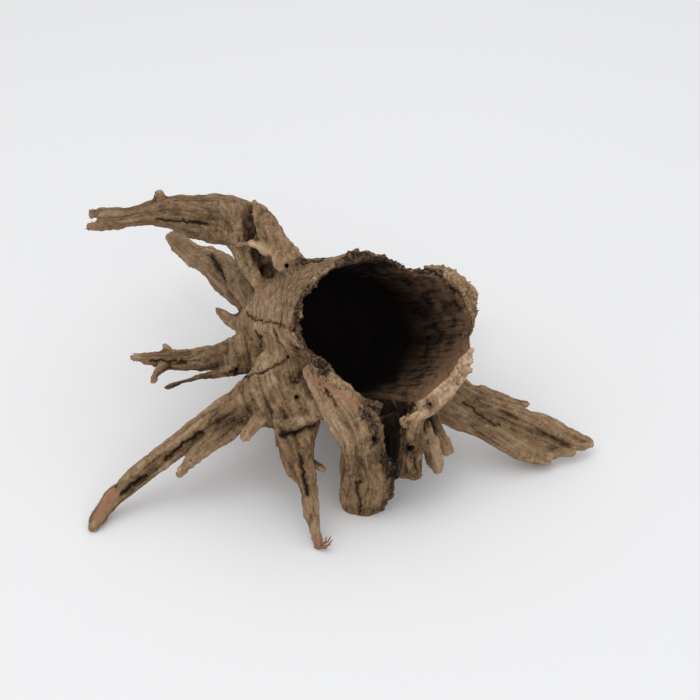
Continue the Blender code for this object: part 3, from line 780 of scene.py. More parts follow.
class Tree:
    """A node tree that is written as expressions."""

    def __init__(self, nodes):
        self.nodes = nodes

    def node(self, kind, settings=None, sockets=None, output=0):
        """Adds a node: first its settings, then its sockets' values or links. Returns one output."""
        new = self.nodes.nodes.new(kind)
        for name, setting in (settings or {}).items():
            setattr(new, name, setting)
        for name, given in (sockets or {}).items():
            if isinstance(given, Value):
                self.nodes.links.new(given.socket, new.inputs[name])
            else:
                new.inputs[name].default_value = given
        return Value(self, new.outputs[output])

    def mix(self, share, a, b):
        """The number a where share is 0, b where it is 1."""
        return self.node("ShaderNodeMix", {"data_type": "FLOAT"}, {0: share, 2: a, 3: b})

    def blend(self, share, a, b):
        """The same for colours."""
        return self.node("ShaderNodeMix", {"data_type": "RGBA"}, {0: share, 6: a, 7: b}, 2)

    def noise(self, place, size, detail=2.0, roughness=0.5):
        sockets = {"Vector": place, "Scale": 1 / size, "Detail": detail, "Roughness": roughness}
        return self.node("ShaderNodeTexNoise", {}, sockets)


class Grain:
    """Noise that is drawn out along the fibres, faded from the nearest root's grain to the next one's."""

    def __init__(self, tree, first, second, share):
        self.tree = tree
        self.places = (first, second)
        self.share = share

    def __call__(self, across, along, detail=2.0, roughness=0.5, shift=0.0):
        stretch = (1 / along, 1 / across, 1 / across)
        noises = []
        for place in self.places:
            drawn = place.vector("MULTIPLY", stretch).vector("ADD", (shift, shift, 0.0))
            noises.append(self.tree.noise(drawn, 1.0, detail, roughness))
        return self.tree.mix(self.share, *noises)


# %% Geometry tree helpers
def geometry_tree(name, sizes):
    """A geometry node tree with named inputs. Returns the tree and a Value for each input."""
    group = bpy.data.node_groups.new(name, "GeometryNodeTree")
    group.interface.new_socket("Geometry", in_out="OUTPUT", socket_type="NodeSocketGeometry")
    group.interface.new_socket("Geometry", in_out="INPUT", socket_type="NodeSocketGeometry")
    for label, kind in sizes.items():
        group.interface.new_socket(label, in_out="INPUT", socket_type=kind)
    entry = group.nodes.new("NodeGroupInput")
    tree = Tree(group)
    return tree, {socket.name: Value(tree, socket) for socket in entry.outputs if socket.name}


def finish_tree(tree, geometry, wood):
    """Ends a geometry tree in plain faces with their material."""
    real = tree.node("GeometryNodeRealizeInstances", {}, {"Geometry": geometry})
    finished = tree.node("GeometryNodeSetMaterial", {}, {"Geometry": real, "Material": wood})
    end = tree.nodes.nodes.new("NodeGroupOutput")
    tree.nodes.links.new(finished.socket, end.inputs["Geometry"])


def named(tree, name, kind="FLOAT"):
    return tree.node("GeometryNodeInputNamedAttribute", {"data_type": kind}, {"Name": name})


def run_tree(piece, tree, values):
    """Puts the tree on the piece with its inputs set, and keeps the result as a plain mesh."""
    modifier = piece.modifiers.new(tree.nodes.name, "NODES")
    modifier.node_group = tree.nodes
    for item in tree.nodes.interface.items_tree:
        if item.in_out == "INPUT" and item.name in values:
            modifier[item.identifier] = values[item.name]
    settle(piece)


print("the node helpers are ready")

# %% [markdown]
# ## Where the wood is fresh, pale or crumbling, and where shade is painted
#
# Some places look their own way: orange wood where the skin broke off lately, edges bleached pale, and
# black crumbling lumps along the mouth's torn edge. Painted shade darkens recesses, grooves, the slot
# beside the foot and the undersides of the legs, arm and twig, where little light falls. Each is a short
# line in space with a reach and a strength. A point takes the strongest mark that it is near, so marks can
# overlap freely.

# %% Marks
Mark = namedtuple("Mark", "reach strength line")


def stroke(reach, strength, *line):
    """A mark from millimetres: its reach, and the points of its line."""
    return Mark(metres(reach), strength, metres(line))


def rim_line(first, last):
    """Points along the mouth's torn edge between two angles in degrees."""
    turn = np.radians(np.linspace(first, last, 9))
    breadth, height = stump_size(0.0)
    outwards, onwards = mouth_lobes(turn)
    reach = MOUTH_SLANT * breadth * np.cos(turn) + onwards
    return oval(turn, 0.0, 0.96 * (breadth + outwards), 0.96 * (height + outwards), reach)


FRESH = (
    stroke(3.6, 0.85, (-27, -101, 115), (-9, -111, 109), (4, -117, 105), (15, -121, 98), (24, -122, 90)),
    stroke(5, 1.00, (-160, -129, 21), (-167, -136, 15), (-173, -143, 10)),
    stroke(3.6, 1.00, (-154, -31, 71), (-158, -30, 70)),
    stroke(8.5, 0.75, (-184, 72, 131), (-196, 72, 131)),
    stroke(8, 0.65, (34, -124, 10), (38, -126, 4)),
    stroke(7, 0.90, (-11, -166, 4), (-9, -170, 0)),
    stroke(4.5, 0.95, (-50, -1, 149), (-36, -17, 145)),
    stroke(6.5, 0.75, (99, -66, 150), (102, -68, 138)),
    stroke(9, 0.50, (98, -70, 115), (80, -92, 100), (60, -113, 92)),
    stroke(10, 0.35, (20, -128, 78), (22, -131, 58)),
)
PALE = (
    stroke(12, 2.00, (98, -68, 104), (82, -89, 92), (60, -112, 88)),
    stroke(10, 0.60, (86, -34, 160), (100, -40, 148), (106, -44, 138)),
    Mark(0.0100, 0.70, rim_line(-22, -62)),
    stroke(4, 1.20, (-62, 8, 150), (-56, 3, 150), (-46, -8, 148)),
    stroke(17, 0.55, (-62, -20, 130), (-50, -50, 128), (-40, -85, 112)),
    stroke(16, 0.80, (-10, -115, 96), (10, -125, 75)),
    stroke(26, 0.14, (90, -50, 50), (160, -70, 18)),
    stroke(7.5, 0.60, (69, -107, 57), (72, -111, 51), (75, -116, 36)),
    stroke(12, 0.45, (-90, 50, 98), (-110, 105, 83)),
)
# Painted shade: darkness laid on recesses, grooves and cracks, the slot and gap beside the foot, and the
# undersides of the legs, arm and twig, where shadow falls.
PAINTED_SHADE = (
    stroke(24, 0.34, (22, -125, 45), (24, -128, 5)),
    stroke(20, 0.38, (-26, -116, 60), (-19, -138, 36)),
    stroke(7, 0.80, (-66, -63, 86), (-126, -74, 75)),
    stroke(30, 0.20, (-90, 50, 142), (-185, 72, 131)),
    stroke(15, 0.36, (-80, -50, 87), (-135, -40, 74)),
    stroke(4.5, 0.75, (-88, -56, 78), (-105, -54, 74.5), (-122, -48, 70)),
    # Painted shade in the slot beside the foot.
    stroke(12, 2.00, (45, -98, 78), (45, -110, 56), (46, -116, 34)),
    stroke(10, 0.95, (50, -124, 34), (61, -130, 33)),
    stroke(12, 0.80, (39, -124, 48), (43, -124, 8)),
    stroke(8.5, 0.50, (-66, 56, 148), (-66, 38, 143), (-66, 28, 138)),
    stroke(6, 0.60, (-57, 13, 128), (-52, 6, 127), (-49, 2, 126)),
    stroke(9, 1.00, (64, -98, 64), (74, -92, 57)),
    stroke(5, 0.80, (-28, -88, 122), (-27, -93, 110), (-27, -94, 102)),
    stroke(8.5, 0.60, (22, -121, 92), (31, -123, 82), (33, -127, 70)),
    stroke(16, 0.85, (50, -112, 66), (56, -122, 45), (60, -126, 34)),
    stroke(4, 0.75, (-98, -103, 54), (-128, -113, 37), (-152, -128, 21)),
    stroke(10, 0.60, (-60, -98, 70), (-82, -99, 58)),
    stroke(1.9, 0.85, (126, -60, 42), (136, -62, 38), (160, -67, 26), (178, -68, 15)),
    stroke(4, 0.70, (-105, 98, 83), (-89, 55, 88), (-80, 33, 90)),
    # Painted shade: the wood deep in the gap behind the slot is laid almost black, as if in shadow.
    stroke(18, 1.80, (41, -78, 60), (42, -92, 46), (44, -106, 28)),
)
CHARRED = (
    Mark(0.0062, 1.00, rim_line(122, 48)),
    Mark(0.0042, 1.00, rim_line(150, 205)),
    stroke(4.5, 0.95, (-26, -14, 147), (-17, -13, 148), (-7, -23, 155)),
    Mark(0.0085, 0.95, rim_line(200, 226)),
    stroke(4.8, 0.90, (-28, -88, 122), (-27, -93, 110), (-28, -97, 100)),
    Mark(0.0060, 0.70, rim_line(250, 292)),
    stroke(7.5, 0.68, (24, -122, 90), (31, -123, 81), (34, -126, 70)),
    stroke(10, 0.60, (38, -122, 46), (40, -122, 12)),
)
CRUMBLING = (
    stroke(8, 0.80, (22, -121, 92), (31, -123, 82), (33, -127, 70)),
    stroke(12, 0.45, (55, -117, 66), (60, -124, 40)),
    stroke(8, 0.40, (94, -75, 98), (80, -92, 89), (58, -114, 84)),
    stroke(6, 0.60, (-28, -88, 122), (-27, -94, 104)),
    stroke(8, 0.45, (36, -125, 30), (36, -124, 8)),
    stroke(6, 0.50, (-190, 72, 131), (-198, 72, 131)),
)


def marked(points, marks):
    """How strongly each point takes the marks, from 0 far away to a mark's strength on its line."""
    strength = np.zeros(len(points))
    for reach, most, line in marks:
        line = np.array(line)
        gap = np.full(len(points), np.inf)
        for start, step in zip(line, np.diff(line, axis=0)):
            t = np.clip((points - start) @ step / max(step @ step, 1e-12), 0, 1)
            gap = np.minimum(gap, ((points - start - t[:, None] * step) ** 2).sum(1))
        strength = np.maximum(strength, most * np.exp(-gap / reach**2))
    return strength


EDGE_REACH = 0.006
EDGE_RATIO, EDGE_SPREAD = 0.97, 0.2


def near_mouth_edge(points):
    """1 on the mouth's torn edge, fading to 0 a few millimetres away."""
    ratio, place = from_stump(points)
    breadth, height = stump_size(0.0)
    turn = np.arctan2(place[:, 2] / height, place[:, 1] / breadth)
    edge = MOUTH_SLANT * breadth * np.cos(turn) + teeth(turn, BROAD_TEETH) + mouth_lobes(turn)[1]
    return np.exp(-((place[:, 0] - edge) / EDGE_REACH) ** 2) * (np.abs(ratio - EDGE_RATIO) < EDGE_SPREAD)


# %% Ridges and recesses
def edge_pairs(mesh):
    return read_all(mesh.edges, "vertices", 2, np.int32)


def sunk(mesh, rounds):
    """How far each point lies below the surface around it, in metres. Ridges are negative."""
    count = len(mesh.vertices)
    pairs = edge_pairs(mesh)
    points = vertex_points(mesh)
    start, end = np.concatenate([pairs, pairs[:, ::-1]]).T
    neighbours = np.maximum(np.bincount(start, minlength=count), 1)
    smooth = points
    for _ in range(rounds):
        around = [np.bincount(start, smooth[end, axis], count) / neighbours for axis in range(3)]
        smooth = 0.5 * smooth + 0.5 * np.stack(around, 1)
    return ((smooth - points) * vertex_normals(mesh)).sum(1)


skin_points = vertex_points(root.data)
THIN_EDGE = 0.0016
THIN_EDGE_ROUNDS = 24
keep_grain(root.data, grain_at(skin_points, two_nearest(skin_points)))
set_attribute(root.data, "in_hollow", inside_hollow(skin_points)[0])
set_attribute(root.data, "thin_edge", np.clip(-sunk(root.data, THIN_EDGE_ROUNDS) / THIN_EDGE, 0, 1))
crumbling = np.maximum(marked(skin_points, CHARRED), marked(skin_points, CRUMBLING))
crumbling = np.maximum(near_mouth_edge(skin_points), crumbling)
set_attribute(root.data, "crumbling", crumbling)
print("crumbling:", round(100 * float((crumbling > 0.3).mean()), 1), "% of the skin")

# %% [markdown]
# ## Relief
#
# Weather eats the soft wood between the fibres, so the surface has long furrows. A bump map would only
# shade them, and they would vanish at the outline, so the skin itself is moved in and out by noise that is
# stretched along the grain. The depth of the furrows is kept on the mesh, and the colour uses it later.

# %% Relief tree
tree, given = geometry_tree("relief", {
    "Furrow depth": "NodeSocketFloat",
    "Fibre depth": "NodeSocketFloat",
    "Lump depth": "NodeSocketFloat",
    "Crumble depth": "NodeSocketFloat",
    "Edge depth": "NodeSocketFloat",
    "Wood": "NodeSocketMaterial",
})
place = tree.node("GeometryNodeInputPosition")
normal = tree.node("GeometryNodeInputNormal")
hollow_here = named(tree, "in_hollow")
grain = Grain(tree, named(tree, "grain_a", "FLOAT_VECTOR"), named(tree, "grain_b", "FLOAT_VECTOR"),
              named(tree, "grain_share"))


def swing(noise):
    """A noise around 0.5 as a number around 0 that rarely leaves -1 to 1."""
    return (noise - 0.5) * 4.0


furrow = grain(0.0062, 0.085, 1.5)
groove = 1 - grain(0.0085, 0.060, 1.0, shift=3.7).apart(0.5).rise(0.0, 0.045)
fibre = grain(0.0027, 0.036, 1.5, shift=1.3)
lump = tree.noise(place, 0.021, 1.5)
crumb = tree.noise(place, 0.0050, 3.0, 0.7)
serration = tree.noise(place, 0.0075, 2.0, 0.6)
height = swing(furrow) * given["Furrow depth"] + swing(fibre) * given["Fibre depth"]
height = height - groove * given["Furrow depth"] * 0.9
height = height * (1 - hollow_here * 0.35)
height = height + swing(lump) * given["Lump depth"] * (1 - hollow_here * 0.5)
height = height + swing(crumb) * given["Crumble depth"] * named(tree, "crumbling")
height = height + swing(serration) * given["Edge depth"] * named(tree, "thin_edge")
moved = tree.node("GeometryNodeSetPosition", {}, {
    "Geometry": given["Geometry"],
    "Offset": normal.scaled(height),
})
kept = tree.node("GeometryNodeStoreNamedAttribute", {"data_type": "FLOAT", "domain": "POINT"}, {
    "Geometry": moved,
    "Name": "furrow",
    "Value": swing(furrow) * 0.5 + swing(fibre) * 0.35 - groove,
})
finish_tree(tree, kept, given["Wood"])

run_tree(root, tree, {
    "Furrow depth": 0.0007,
    "Fibre depth": 0.0004,
    "Lump depth": 0.0012,
    "Crumble depth": 0.0032,
    "Edge depth": 0.0013,
    "Wood": wood,
})
print("the carved skin has", len(root.data.polygons), "faces")

# %% [markdown]
# ## Cracks and worm holes
#
# Drying wood splits along and across its fibres, and beetles leave small round holes. Both go in as real
# cuts, because a dark line that is only painted has no depth when the light moves. Shade is still painted
# along the bottom of each crack and down each of the biggest holes. A crack is a thin jagged wedge that
# follows the surface, and a hole is a short cone. The biggest holes are placed one by one, and a geometry
# tree scatters the smallest.

# %% Cracks
# Each crack's width, depth and line, in millimetres.
Crack = namedtuple("Crack", "width depth line")
CRACKS = (
    Crack(1.9, 7, ((-66, -30, 112), (-60, -40, 114), (-53, -52, 120), (-42, -67, 129), (-33, -80, 136))),
    Crack(1.3, 4, ((-38, -71, 130), (-38, -74, 134), (-37, -68, 139))),
    Crack(1.8, 6.5, ((-75, -66, 85), (-69, -78, 88), (-60, -84, 95), (-51, -87, 100), (-43, -85, 104),
          (-34, -83, 108))),
    Crack(2.4, 6, ((-6, -116, 105), (-2, -119, 102), (2, -121, 96))),
    Crack(1.8, 6, ((18, -135, 36), (17, -135, 28), (19, -135, 19), (18, -135, 10), (19, -134, 3))),
    Crack(2, 5, ((-102, 94, 82), (-96, 76, 86), (-89, 55, 89), (-83, 38, 90))),
    Crack(1.2, 3, ((-58, -52, 112), (-55, -58, 108), (-54, -60, 102))),
    Crack(1.4, 4, ((-43, -68, 124), (-40, -72, 119), (-36, -76, 117))),
    Crack(2.2, 5, ((-98, -103, 56), (-113, -107, 46), (-124, -112, 39))),
    Crack(2, 4.5, ((-138, -122, 31), (-150, -128, 24), (-157, -131, 20))),
    Crack(1.4, 4, ((98, -56, 48), (112, -63, 40), (124, -66, 33))),
    Crack(1.2, 3.5, ((-110, -52, 83), (-125, -45, 78), (-140, -40, 75))),
    Crack(1.3, 3.5, ((-23, -135, 60), (-22, -139, 48), (-19, -146, 36))),
    Crack(1.2, 3, ((-100, 45, 145), (-122, 52, 142), (-142, 58, 138))),
    # The widest crack runs under the ledge across the thin leg; the shade painted inside it stands for the
    # ledge's shadow.
    Crack(3.6, 5.5, ((-38, -120.5, 69), (-32.5, -120.5, 70.5), (-27.4, -121.2, 73), (-22.4, -121, 74.5),
          (-17.4, -117.8, 74.5), (-13.5, -113.5, 73))),
)
CRACK_STEP = 0.0022
CRACK_JITTER = 0.0006
LIFT = 0.0015
NARROWEST_MARK = 0.0011
MARK_DEPTH = 0.0006


def surface_tree(piece):
    depsgraph = bpy.context.evaluated_depsgraph_get()
    return BVHTree.FromObject(piece, depsgraph)


def on_surface(surface, points):
    """The nearest places on the surface, and the normals there."""
    found = [surface.find_nearest(Vector(point))[:2] for point in points]
    return np.array([place for place, _ in found]), np.array([normal for _, normal in found])


def crack_wedge(surface, crack):
    """The rings of a three-sided wedge that opens above the surface and comes to an edge below it."""
    width, depth, line = metres(crack.width), metres(crack.depth), metres(crack.line)
    path = smooth_path(line, CRACK_STEP)
    path += rng.normal(0, CRACK_JITTER, path.shape)
    places, normals = on_surface(surface, path)
    # Painted shade along the bottom of the crack.
    cut_shade_marks.append(Mark(max(0.5 * width, NARROWEST_MARK), 1.0, places - MARK_DEPTH * normals))
    normals = unit(np.stack([np.convolve(column, np.ones(3) / 3, "same") for column in normals.T], 1))
    side = unit(np.cross(np.gradient(places, axis=0), normals))
    share = 0.25 + 0.75 * np.sin(np.linspace(0.05, math.pi - 0.05, len(path)))
    opening = 0.5 * width * share * rng.uniform(0.6, 1.3, len(path)) * (1 + LIFT / depth)
    top = places + normals * LIFT
    bottom = places - normals * (depth * share)[:, None]
    return np.stack([top - side * opening[:, None], bottom, top + side * opening[:, None]], 1)


# Painted shade inside cuts: marks along the bottom of each crack and down each worm hole darken the colour
# there.
cut_shade_marks = []
surface = surface_tree(root)
cut(root, mesh_piece("cracks", [loft(crack_wedge(surface, crack)) for crack in CRACKS]))
print(len(CRACKS), "cracks leave", len(root.data.polygons), "faces")

# %% Holes and splinters tree
tree, given = geometry_tree("scattered cones", {
    "Density": "NodeSocketFloat",
    "Gap": "NodeSocketFloat",
    "Seed": "NodeSocketInt",
    "Outer radius": "NodeSocketFloat",
    "Inner radius": "NodeSocketFloat",
    "Above": "NodeSocketFloat",
    "Below": "NodeSocketFloat",
    "Smallest": "NodeSocketFloat",
    "Wood": "NodeSocketMaterial",
})
scattering = {"distribute_method": "POISSON"}
scattered = tree.node("GeometryNodeDistributePointsOnFaces", scattering, {
    "Mesh": given["Geometry"],
    "Distance Min": given["Gap"],
    "Density Max": given["Density"],
    "Density Factor": named(tree, "scatter"),
    "Seed": given["Seed"],
})
cone = tree.node("GeometryNodeMeshCone", {}, {
    "Vertices": 7,
    "Radius Top": given["Outer radius"],
    "Radius Bottom": given["Inner radius"],
    "Depth": given["Above"] + given["Below"],
})
shift = tree.node("ShaderNodeCombineXYZ", {}, {"Z": given["Below"] * -1.0})
cone = tree.node("GeometryNodeTransform", {}, {"Geometry": cone, "Translation": shift})
turned = tree.node("FunctionNodeAlignRotationToVector", {"axis": "Z"}, {
    "Vector": named(tree, "lean", "FLOAT_VECTOR"),
})
chance = tree.node("FunctionNodeRandomValue", {"data_type": "FLOAT"}, {
    "Min": given["Smallest"],
    "Max": 1.3,
    "Seed": given["Seed"],
}, 1)
placed = tree.node("GeometryNodeInstanceOnPoints", {}, {
    "Points": scattered,
    "Instance": cone,
    "Rotation": turned,
    "Scale": chance,
})
finish_tree(tree, placed, given["Wood"])
cones_tree = tree


def scatter_cones(name, strength, lean, **sizes):
    """Cones on the root's skin, densest where strength is 1, pointing along lean."""
    piece = bpy.data.objects.new(name, root.data.copy())
    bpy.context.scene.collection.objects.link(piece)
    set_attribute(piece.data, "scatter", strength)
    set_attribute(piece.data, "lean", lean)
    sizes["Wood"] = wood
    run_tree(piece, cones_tree, {label.replace("_", " "): size for label, size in sizes.items()})
    return piece


# %% Worm holes
# The biggest holes: x, y, z and radius of each, in millimetres.
HOLES_BY_HAND = (
    (-35, -17, 146, 1.9), (-26, -87, 137, 1.8), (-54, -57, 110, 1.4), (-54, -60, 102, 1.2),
    (-61, -51, 103, 1.1), (-72, -67, 87, 1.5), (-34, -82, 110, 1.4), (-27, -106, 92, 1.7),
    (-42, -71, 121, 1.1), (-160, -125, 24, 1.5), (57, -126, 60, 2.6), (33, -128, 72, 3),
    (29, -124, 86, 2), (66, -104, 72, 5), (72, -96, 66, 4.5),
)


def worm_hole(surface, x, y, z, radius):
    """The rings of a short cone into the surface, a little out of round."""
    (place,), (normal,) = on_surface(surface, [(x, y, z)])
    # Painted shade down the hole.
    cut_shade_marks.append(Mark(radius, 1.0, (place - 0.6 * radius * normal, place - 2 * radius * normal)))
    side = unit(np.cross(normal, FACE + 0.3))
    other = np.cross(normal, side)
    turn = np.linspace(0, 2 * math.pi, 11, endpoint=False)
    outline = 1 + 0.18 * waves(turn, (2, 3))
    rings = []
    for level, share in ((LIFT, 1.05), (0.0, 1.0), (-1.2 * radius, 0.8), (-2.4 * radius, 0.35)):
        ring = side * np.cos(turn)[:, None] + other * np.sin(turn)[:, None]
        rings.append(place + normal * level + ring * (outline * radius * share)[:, None])
    return rings


surface = surface_tree(root)
cut(root, mesh_piece("worm_holes", [loft(worm_hole(surface, *metres(row))) for row in HOLES_BY_HAND]))
in_hollow = inside_hollow(vertex_points(root.data))[0]
pits = scatter_cones("pits", 1 - in_hollow, vertex_normals(root.data), Density=2600.0, Gap=0.009, Seed=3,
                     Outer_radius=0.0009, Inner_radius=0.0003, Above=LIFT, Below=0.0022, Smallest=0.4)
print("small pits:", len(pits.data.vertices) // 14)
cut(root, pits)
print("holes leave", len(root.data.polygons), "faces")

# %% [markdown]
# ## Feet, and the final mesh
#
# The tips that reach the ground are worn flat, so everything under the floor is cut off. Then the mesh is
# thinned where it is smooth. Cracks and crumbling edges keep their faces, because the thinning takes the
# faces that change the shape least. Crumbs that the cuts left hanging in the air are taken away.

# %% Feet
GROUND = 0.7
GROUND_DEPTH = 0.05


def ground_block():
    corners = np.array([(x, y) for x, y in ((-1, -1), (1, -1), (1, 1), (-1, 1))]) * 0.5 * GROUND
    return [np.column_stack([corners, np.full(4, level)]) for level in (-GROUND_DEPTH, 0.0)]


def drop_crumbs(mesh):
    """Removes every point that isn't joined to the main body, and returns how many there were."""
    pairs = edge_pairs(mesh)
    body = np.arange(len(mesh.vertices))
    while True:
        lowest = body.copy()
        np.minimum.at(lowest, pairs.ravel(), np.repeat(body[pairs].min(1), 2))
        lowest = lowest[lowest]
        if (lowest == body).all():
            break
        body = lowest
    loose = np.flatnonzero(body != np.bincount(body).argmax())
    shape = bmesh.new()
    shape.from_mesh(mesh)
    shape.verts.ensure_lookup_table()
    bmesh.ops.delete(shape, geom=[shape.verts[i] for i in loose], context="VERTS")
    shape.to_mesh(mesh)
    shape.free()
    return len(loose)


cut(root, mesh_piece("ground", [loft(ground_block())]))
MOST_TRIANGLES = 190000
root.data.calc_loop_triangles()
triangles = len(root.data.loop_triangles)
if triangles > MOST_TRIANGLES:
    modifier = root.modifiers.new("thin_out", "DECIMATE")
    modifier.ratio = MOST_TRIANGLES / triangles
    settle(root)
print("loose points taken away:", drop_crumbs(root.data))
print("from", triangles, "to", sum(len(face.vertices) - 2 for face in root.data.polygons), "triangles")

# %% [markdown]
# ## What the colour needs to know
#
# The shader can't tell a ridge from a recess, or fresh wood from old, so the mesh tells it: each point
# carries its marks. The places along the grain are kept for each corner of a face and not for each point,
# so that a face between two roots takes both from the same root and the grain never smears across it.

# %% Colour attributes
RIDGE, RIDGE_ROUNDS = 0.0005, 3
VALLEY, VALLEY_ROUNDS = 0.0022, 30
MARKS = {"fresh": FRESH, "pale": PALE, "painted_shade": PAINTED_SHADE, "charred": CHARRED, "cut": cut_shade_marks}


def face_grain(mesh):
    """Grain places for every face corner, all corners of a face reading the same two roots."""
    corners = read_all(mesh.loops, "vertex_index", 1, np.int32)[:, 0]
    sides = read_all(mesh.polygons, "loop_total", 1, np.int32)[:, 0]
    chosen = two_nearest(read_all(mesh.polygons, "center", 3).astype(float))
    return grain_at(vertex_points(mesh)[corners], np.repeat(chosen, sides, axis=1))


def keep_marks(piece):
    mesh = piece.data
    points = vertex_points(mesh)
    keep_grain(mesh, face_grain(mesh), "CORNER")
    hollow_wall, depth = inside_hollow(points)
    set_attribute(mesh, "in_hollow", hollow_wall)
    set_attribute(mesh, "hollow_depth", depth)
    for name, marks in MARKS.items():
        set_attribute(mesh, name, marked(points, marks))


keep_marks(root)
set_attribute(root.data, "ridge", np.clip(sunk(root.data, RIDGE_ROUNDS) / RIDGE, -1, 1))
set_attribute(root.data, "valley", np.clip(sunk(root.data, VALLEY_ROUNDS) / VALLEY, -1, 1))
print("attributes:", [attribute.name for attribute in root.data.attributes if attribute.name[0] != "."])

# %% [markdown]
# ## Weathered wood
#
# Old dry wood is not one brown. The colour is lighter on ridges and darker in furrows and recesses, thin
# dark and pale fibres lie side by side, and broad patches differ. Each is its own noise, sized in metres,
# and a tone from dark to pale picks the colour. Fresh orange wood, black crumbs and the inner wall are laid
# over that, and painted shade darkens recesses, the undersides of the legs and arm, cuts, and the depths of
# the hollow.

# %% Wood colours
BLEACHED_WOOD = (0.560, 0.395, 0.255, 1.0)
PALE_WOOD = (0.370, 0.252, 0.152, 1.0)
TAN_WOOD = (0.226, 0.144, 0.079, 1.0)
BROWN_WOOD = (0.112, 0.067, 0.035, 1.0)
DARK_WOOD = (0.025, 0.015, 0.008, 1.0)
RED_WOOD = (0.170, 0.082, 0.050, 1.0)
FRESH_WOOD = (0.310, 0.155, 0.088, 1.0)
CHARRED_WOOD = (0.027, 0.016, 0.010, 1.0)
CRUMB_WOOD = (0.160, 0.102, 0.062, 1.0)
HOLLOW_WOOD = (0.155, 0.090, 0.052, 1.0)
# Near-black: the darkest wood, and the colour of painted shade deep in the hollow and in cuts.
DEEP_SHADE_AND_BLACK_WOOD = (0.006, 0.0042, 0.0032, 1.0)
MIDDLE_TONE = 0.47


def attribute_value(tree, name, output="Fac"):
    return tree.node("ShaderNodeAttribute", {"attribute_name": name}, {}, output)


def paint_wood(material):
    material.use_nodes = True
    shader = material.node_tree.nodes["Principled BSDF"]
    tree = Tree(material.node_tree)
    first = attribute_value(tree, "grain_a", "Vector")
    second = attribute_value(tree, "grain_b", "Vector")
    grain = Grain(tree, first, second, attribute_value(tree, "grain_share"))
    place = tree.node("ShaderNodeTexCoord", {}, {}, 3)
    streak = grain(0.0050, 0.060, 3.0, 0.6, shift=5.1)
    fibre = grain(0.0011, 0.026, 2.0, 0.6, shift=2.3)
    patch = tree.noise(place, 0.034, 3.0, 0.55)
    blotch = tree.noise(place, 0.0085, 3.0, 0.6)
    mottle = tree.noise(place, 0.0030, 3.0, 0.7)
    grit = tree.noise(place, 0.0012, 2.0, 0.6)
    ridge = attribute_value(tree, "ridge")
    valley = attribute_value(tree, "valley")
    furrow = attribute_value(tree, "furrow")
    painted_shade = attribute_value(tree, "painted_shade")

    # Painted shade lowers the tone and sharpens the streaks in recesses and under the legs, arm and twig.
    tone = MIDDLE_TONE + (streak - 0.5) * (0.45 + painted_shade * 0.9) + (fibre - 0.5) * 0.60 + (patch - 0.5) * 0.5
    tone = tone + (blotch - 0.5) * 0.40 + (mottle - 0.5) * 0.45 + (grit - 0.5) * 0.40
    # Lighter on ridges, darker where the surface is sunk.
    tone = tone + furrow * 0.04 - ridge * 0.16 - valley * 0.18
    # Painted shade inside cracks and holes lowers the tone further.
    tone = tone + attribute_value(tree, "pale") * 0.26 - painted_shade * 0.50 - attribute_value(tree, "cut") * 0.9
    colour = tree.blend(tone.rise(-0.60, -0.12), DEEP_SHADE_AND_BLACK_WOOD, DARK_WOOD)
    colour = tree.blend(tone.rise(-0.06, 0.28), colour, BROWN_WOOD)
    colour = tree.blend(tone.rise(0.24, 0.56), colour, TAN_WOOD)
    colour = tree.blend(tone.rise(0.50, 0.88), colour, PALE_WOOD)
    colour = tree.blend(tone.rise(0.82, 1.15), colour, BLEACHED_WOOD)
    reddish = (blotch + (patch - 0.5) * 0.8).rise(0.58, 0.72) * tone.rise(0.05, 0.45) * 0.45
    colour = tree.blend(reddish, colour, RED_WOOD)

    freshness = attribute_value(tree, "fresh") + (streak - 0.5) * 1.2 + (blotch - 0.5) * 0.9
    colour = tree.blend(freshness.rise(0.40, 0.80) * tone.rise(0.10, 0.60), colour, FRESH_WOOD)
    charring = attribute_value(tree, "charred") + (blotch - 0.5) * 0.9 + (mottle - 0.5) * 0.6
    crumb_tone = mottle + (grit - 0.5) * 0.4 - ridge * 0.12
    crumbs = tree.blend(crumb_tone.rise(0.44, 0.72), CHARRED_WOOD, CRUMB_WOOD)
    colour = tree.blend(charring.rise(0.35, 0.60), colour, crumbs)

    hollow = attribute_value(tree, "in_hollow")
    depth = attribute_value(tree, "hollow_depth")
    hollow_tone = 0.50 + (streak - 0.5) * 1.1 + (patch - 0.5) * 1.0 + (blotch - 0.5) * 0.9
    hollow_tone = hollow_tone + (fibre - 0.5) * 0.6 + attribute_value(tree, "pale") * 0.35
    inner = tree.blend((hollow_tone - ridge * 0.2).rise(0.1, 0.9), DEEP_SHADE_AND_BLACK_WOOD, HOLLOW_WOOD)
    # Painted shade: the inner wall turns near-black the deeper it lies in the hollow.
    inner = tree.blend(depth.rise(0.02, 0.62), inner, DEEP_SHADE_AND_BLACK_WOOD)
    colour = tree.blend((hollow + (blotch - 0.5) * 0.9).rise(0.25, 0.65), colour, inner)

    height = (fibre - 0.5) * 0.9 + (streak - 0.5) * 0.8 + (grit - 0.5) * 0.7
    bump = tree.node("ShaderNodeBump", {}, {"Strength": 0.75, "Distance": 0.0011, "Height": height})
    roughness = 0.86 + (grit - 0.5) * 0.2 - attribute_value(tree, "fresh") * 0.08
    for name, given in (("Base Color", colour), ("Roughness", roughness), ("Normal", bump)):
        material.node_tree.links.new(given.socket, shader.inputs[name])
    shader.inputs["Specular IOR Level"].default_value = 0.12


paint_wood(wood)
print("weathered wood:", len(wood.node_tree.nodes), "nodes")

# %% [markdown]
# ## Splinters
#
# Torn wood ends in loose fibres. They stand on the mouth's edge and on broken tips, in the direction the
# fibres ran before they tore. They are short cones with very few faces, scattered by the same tree that
# made the smallest worm holes, only pointing outwards this time.

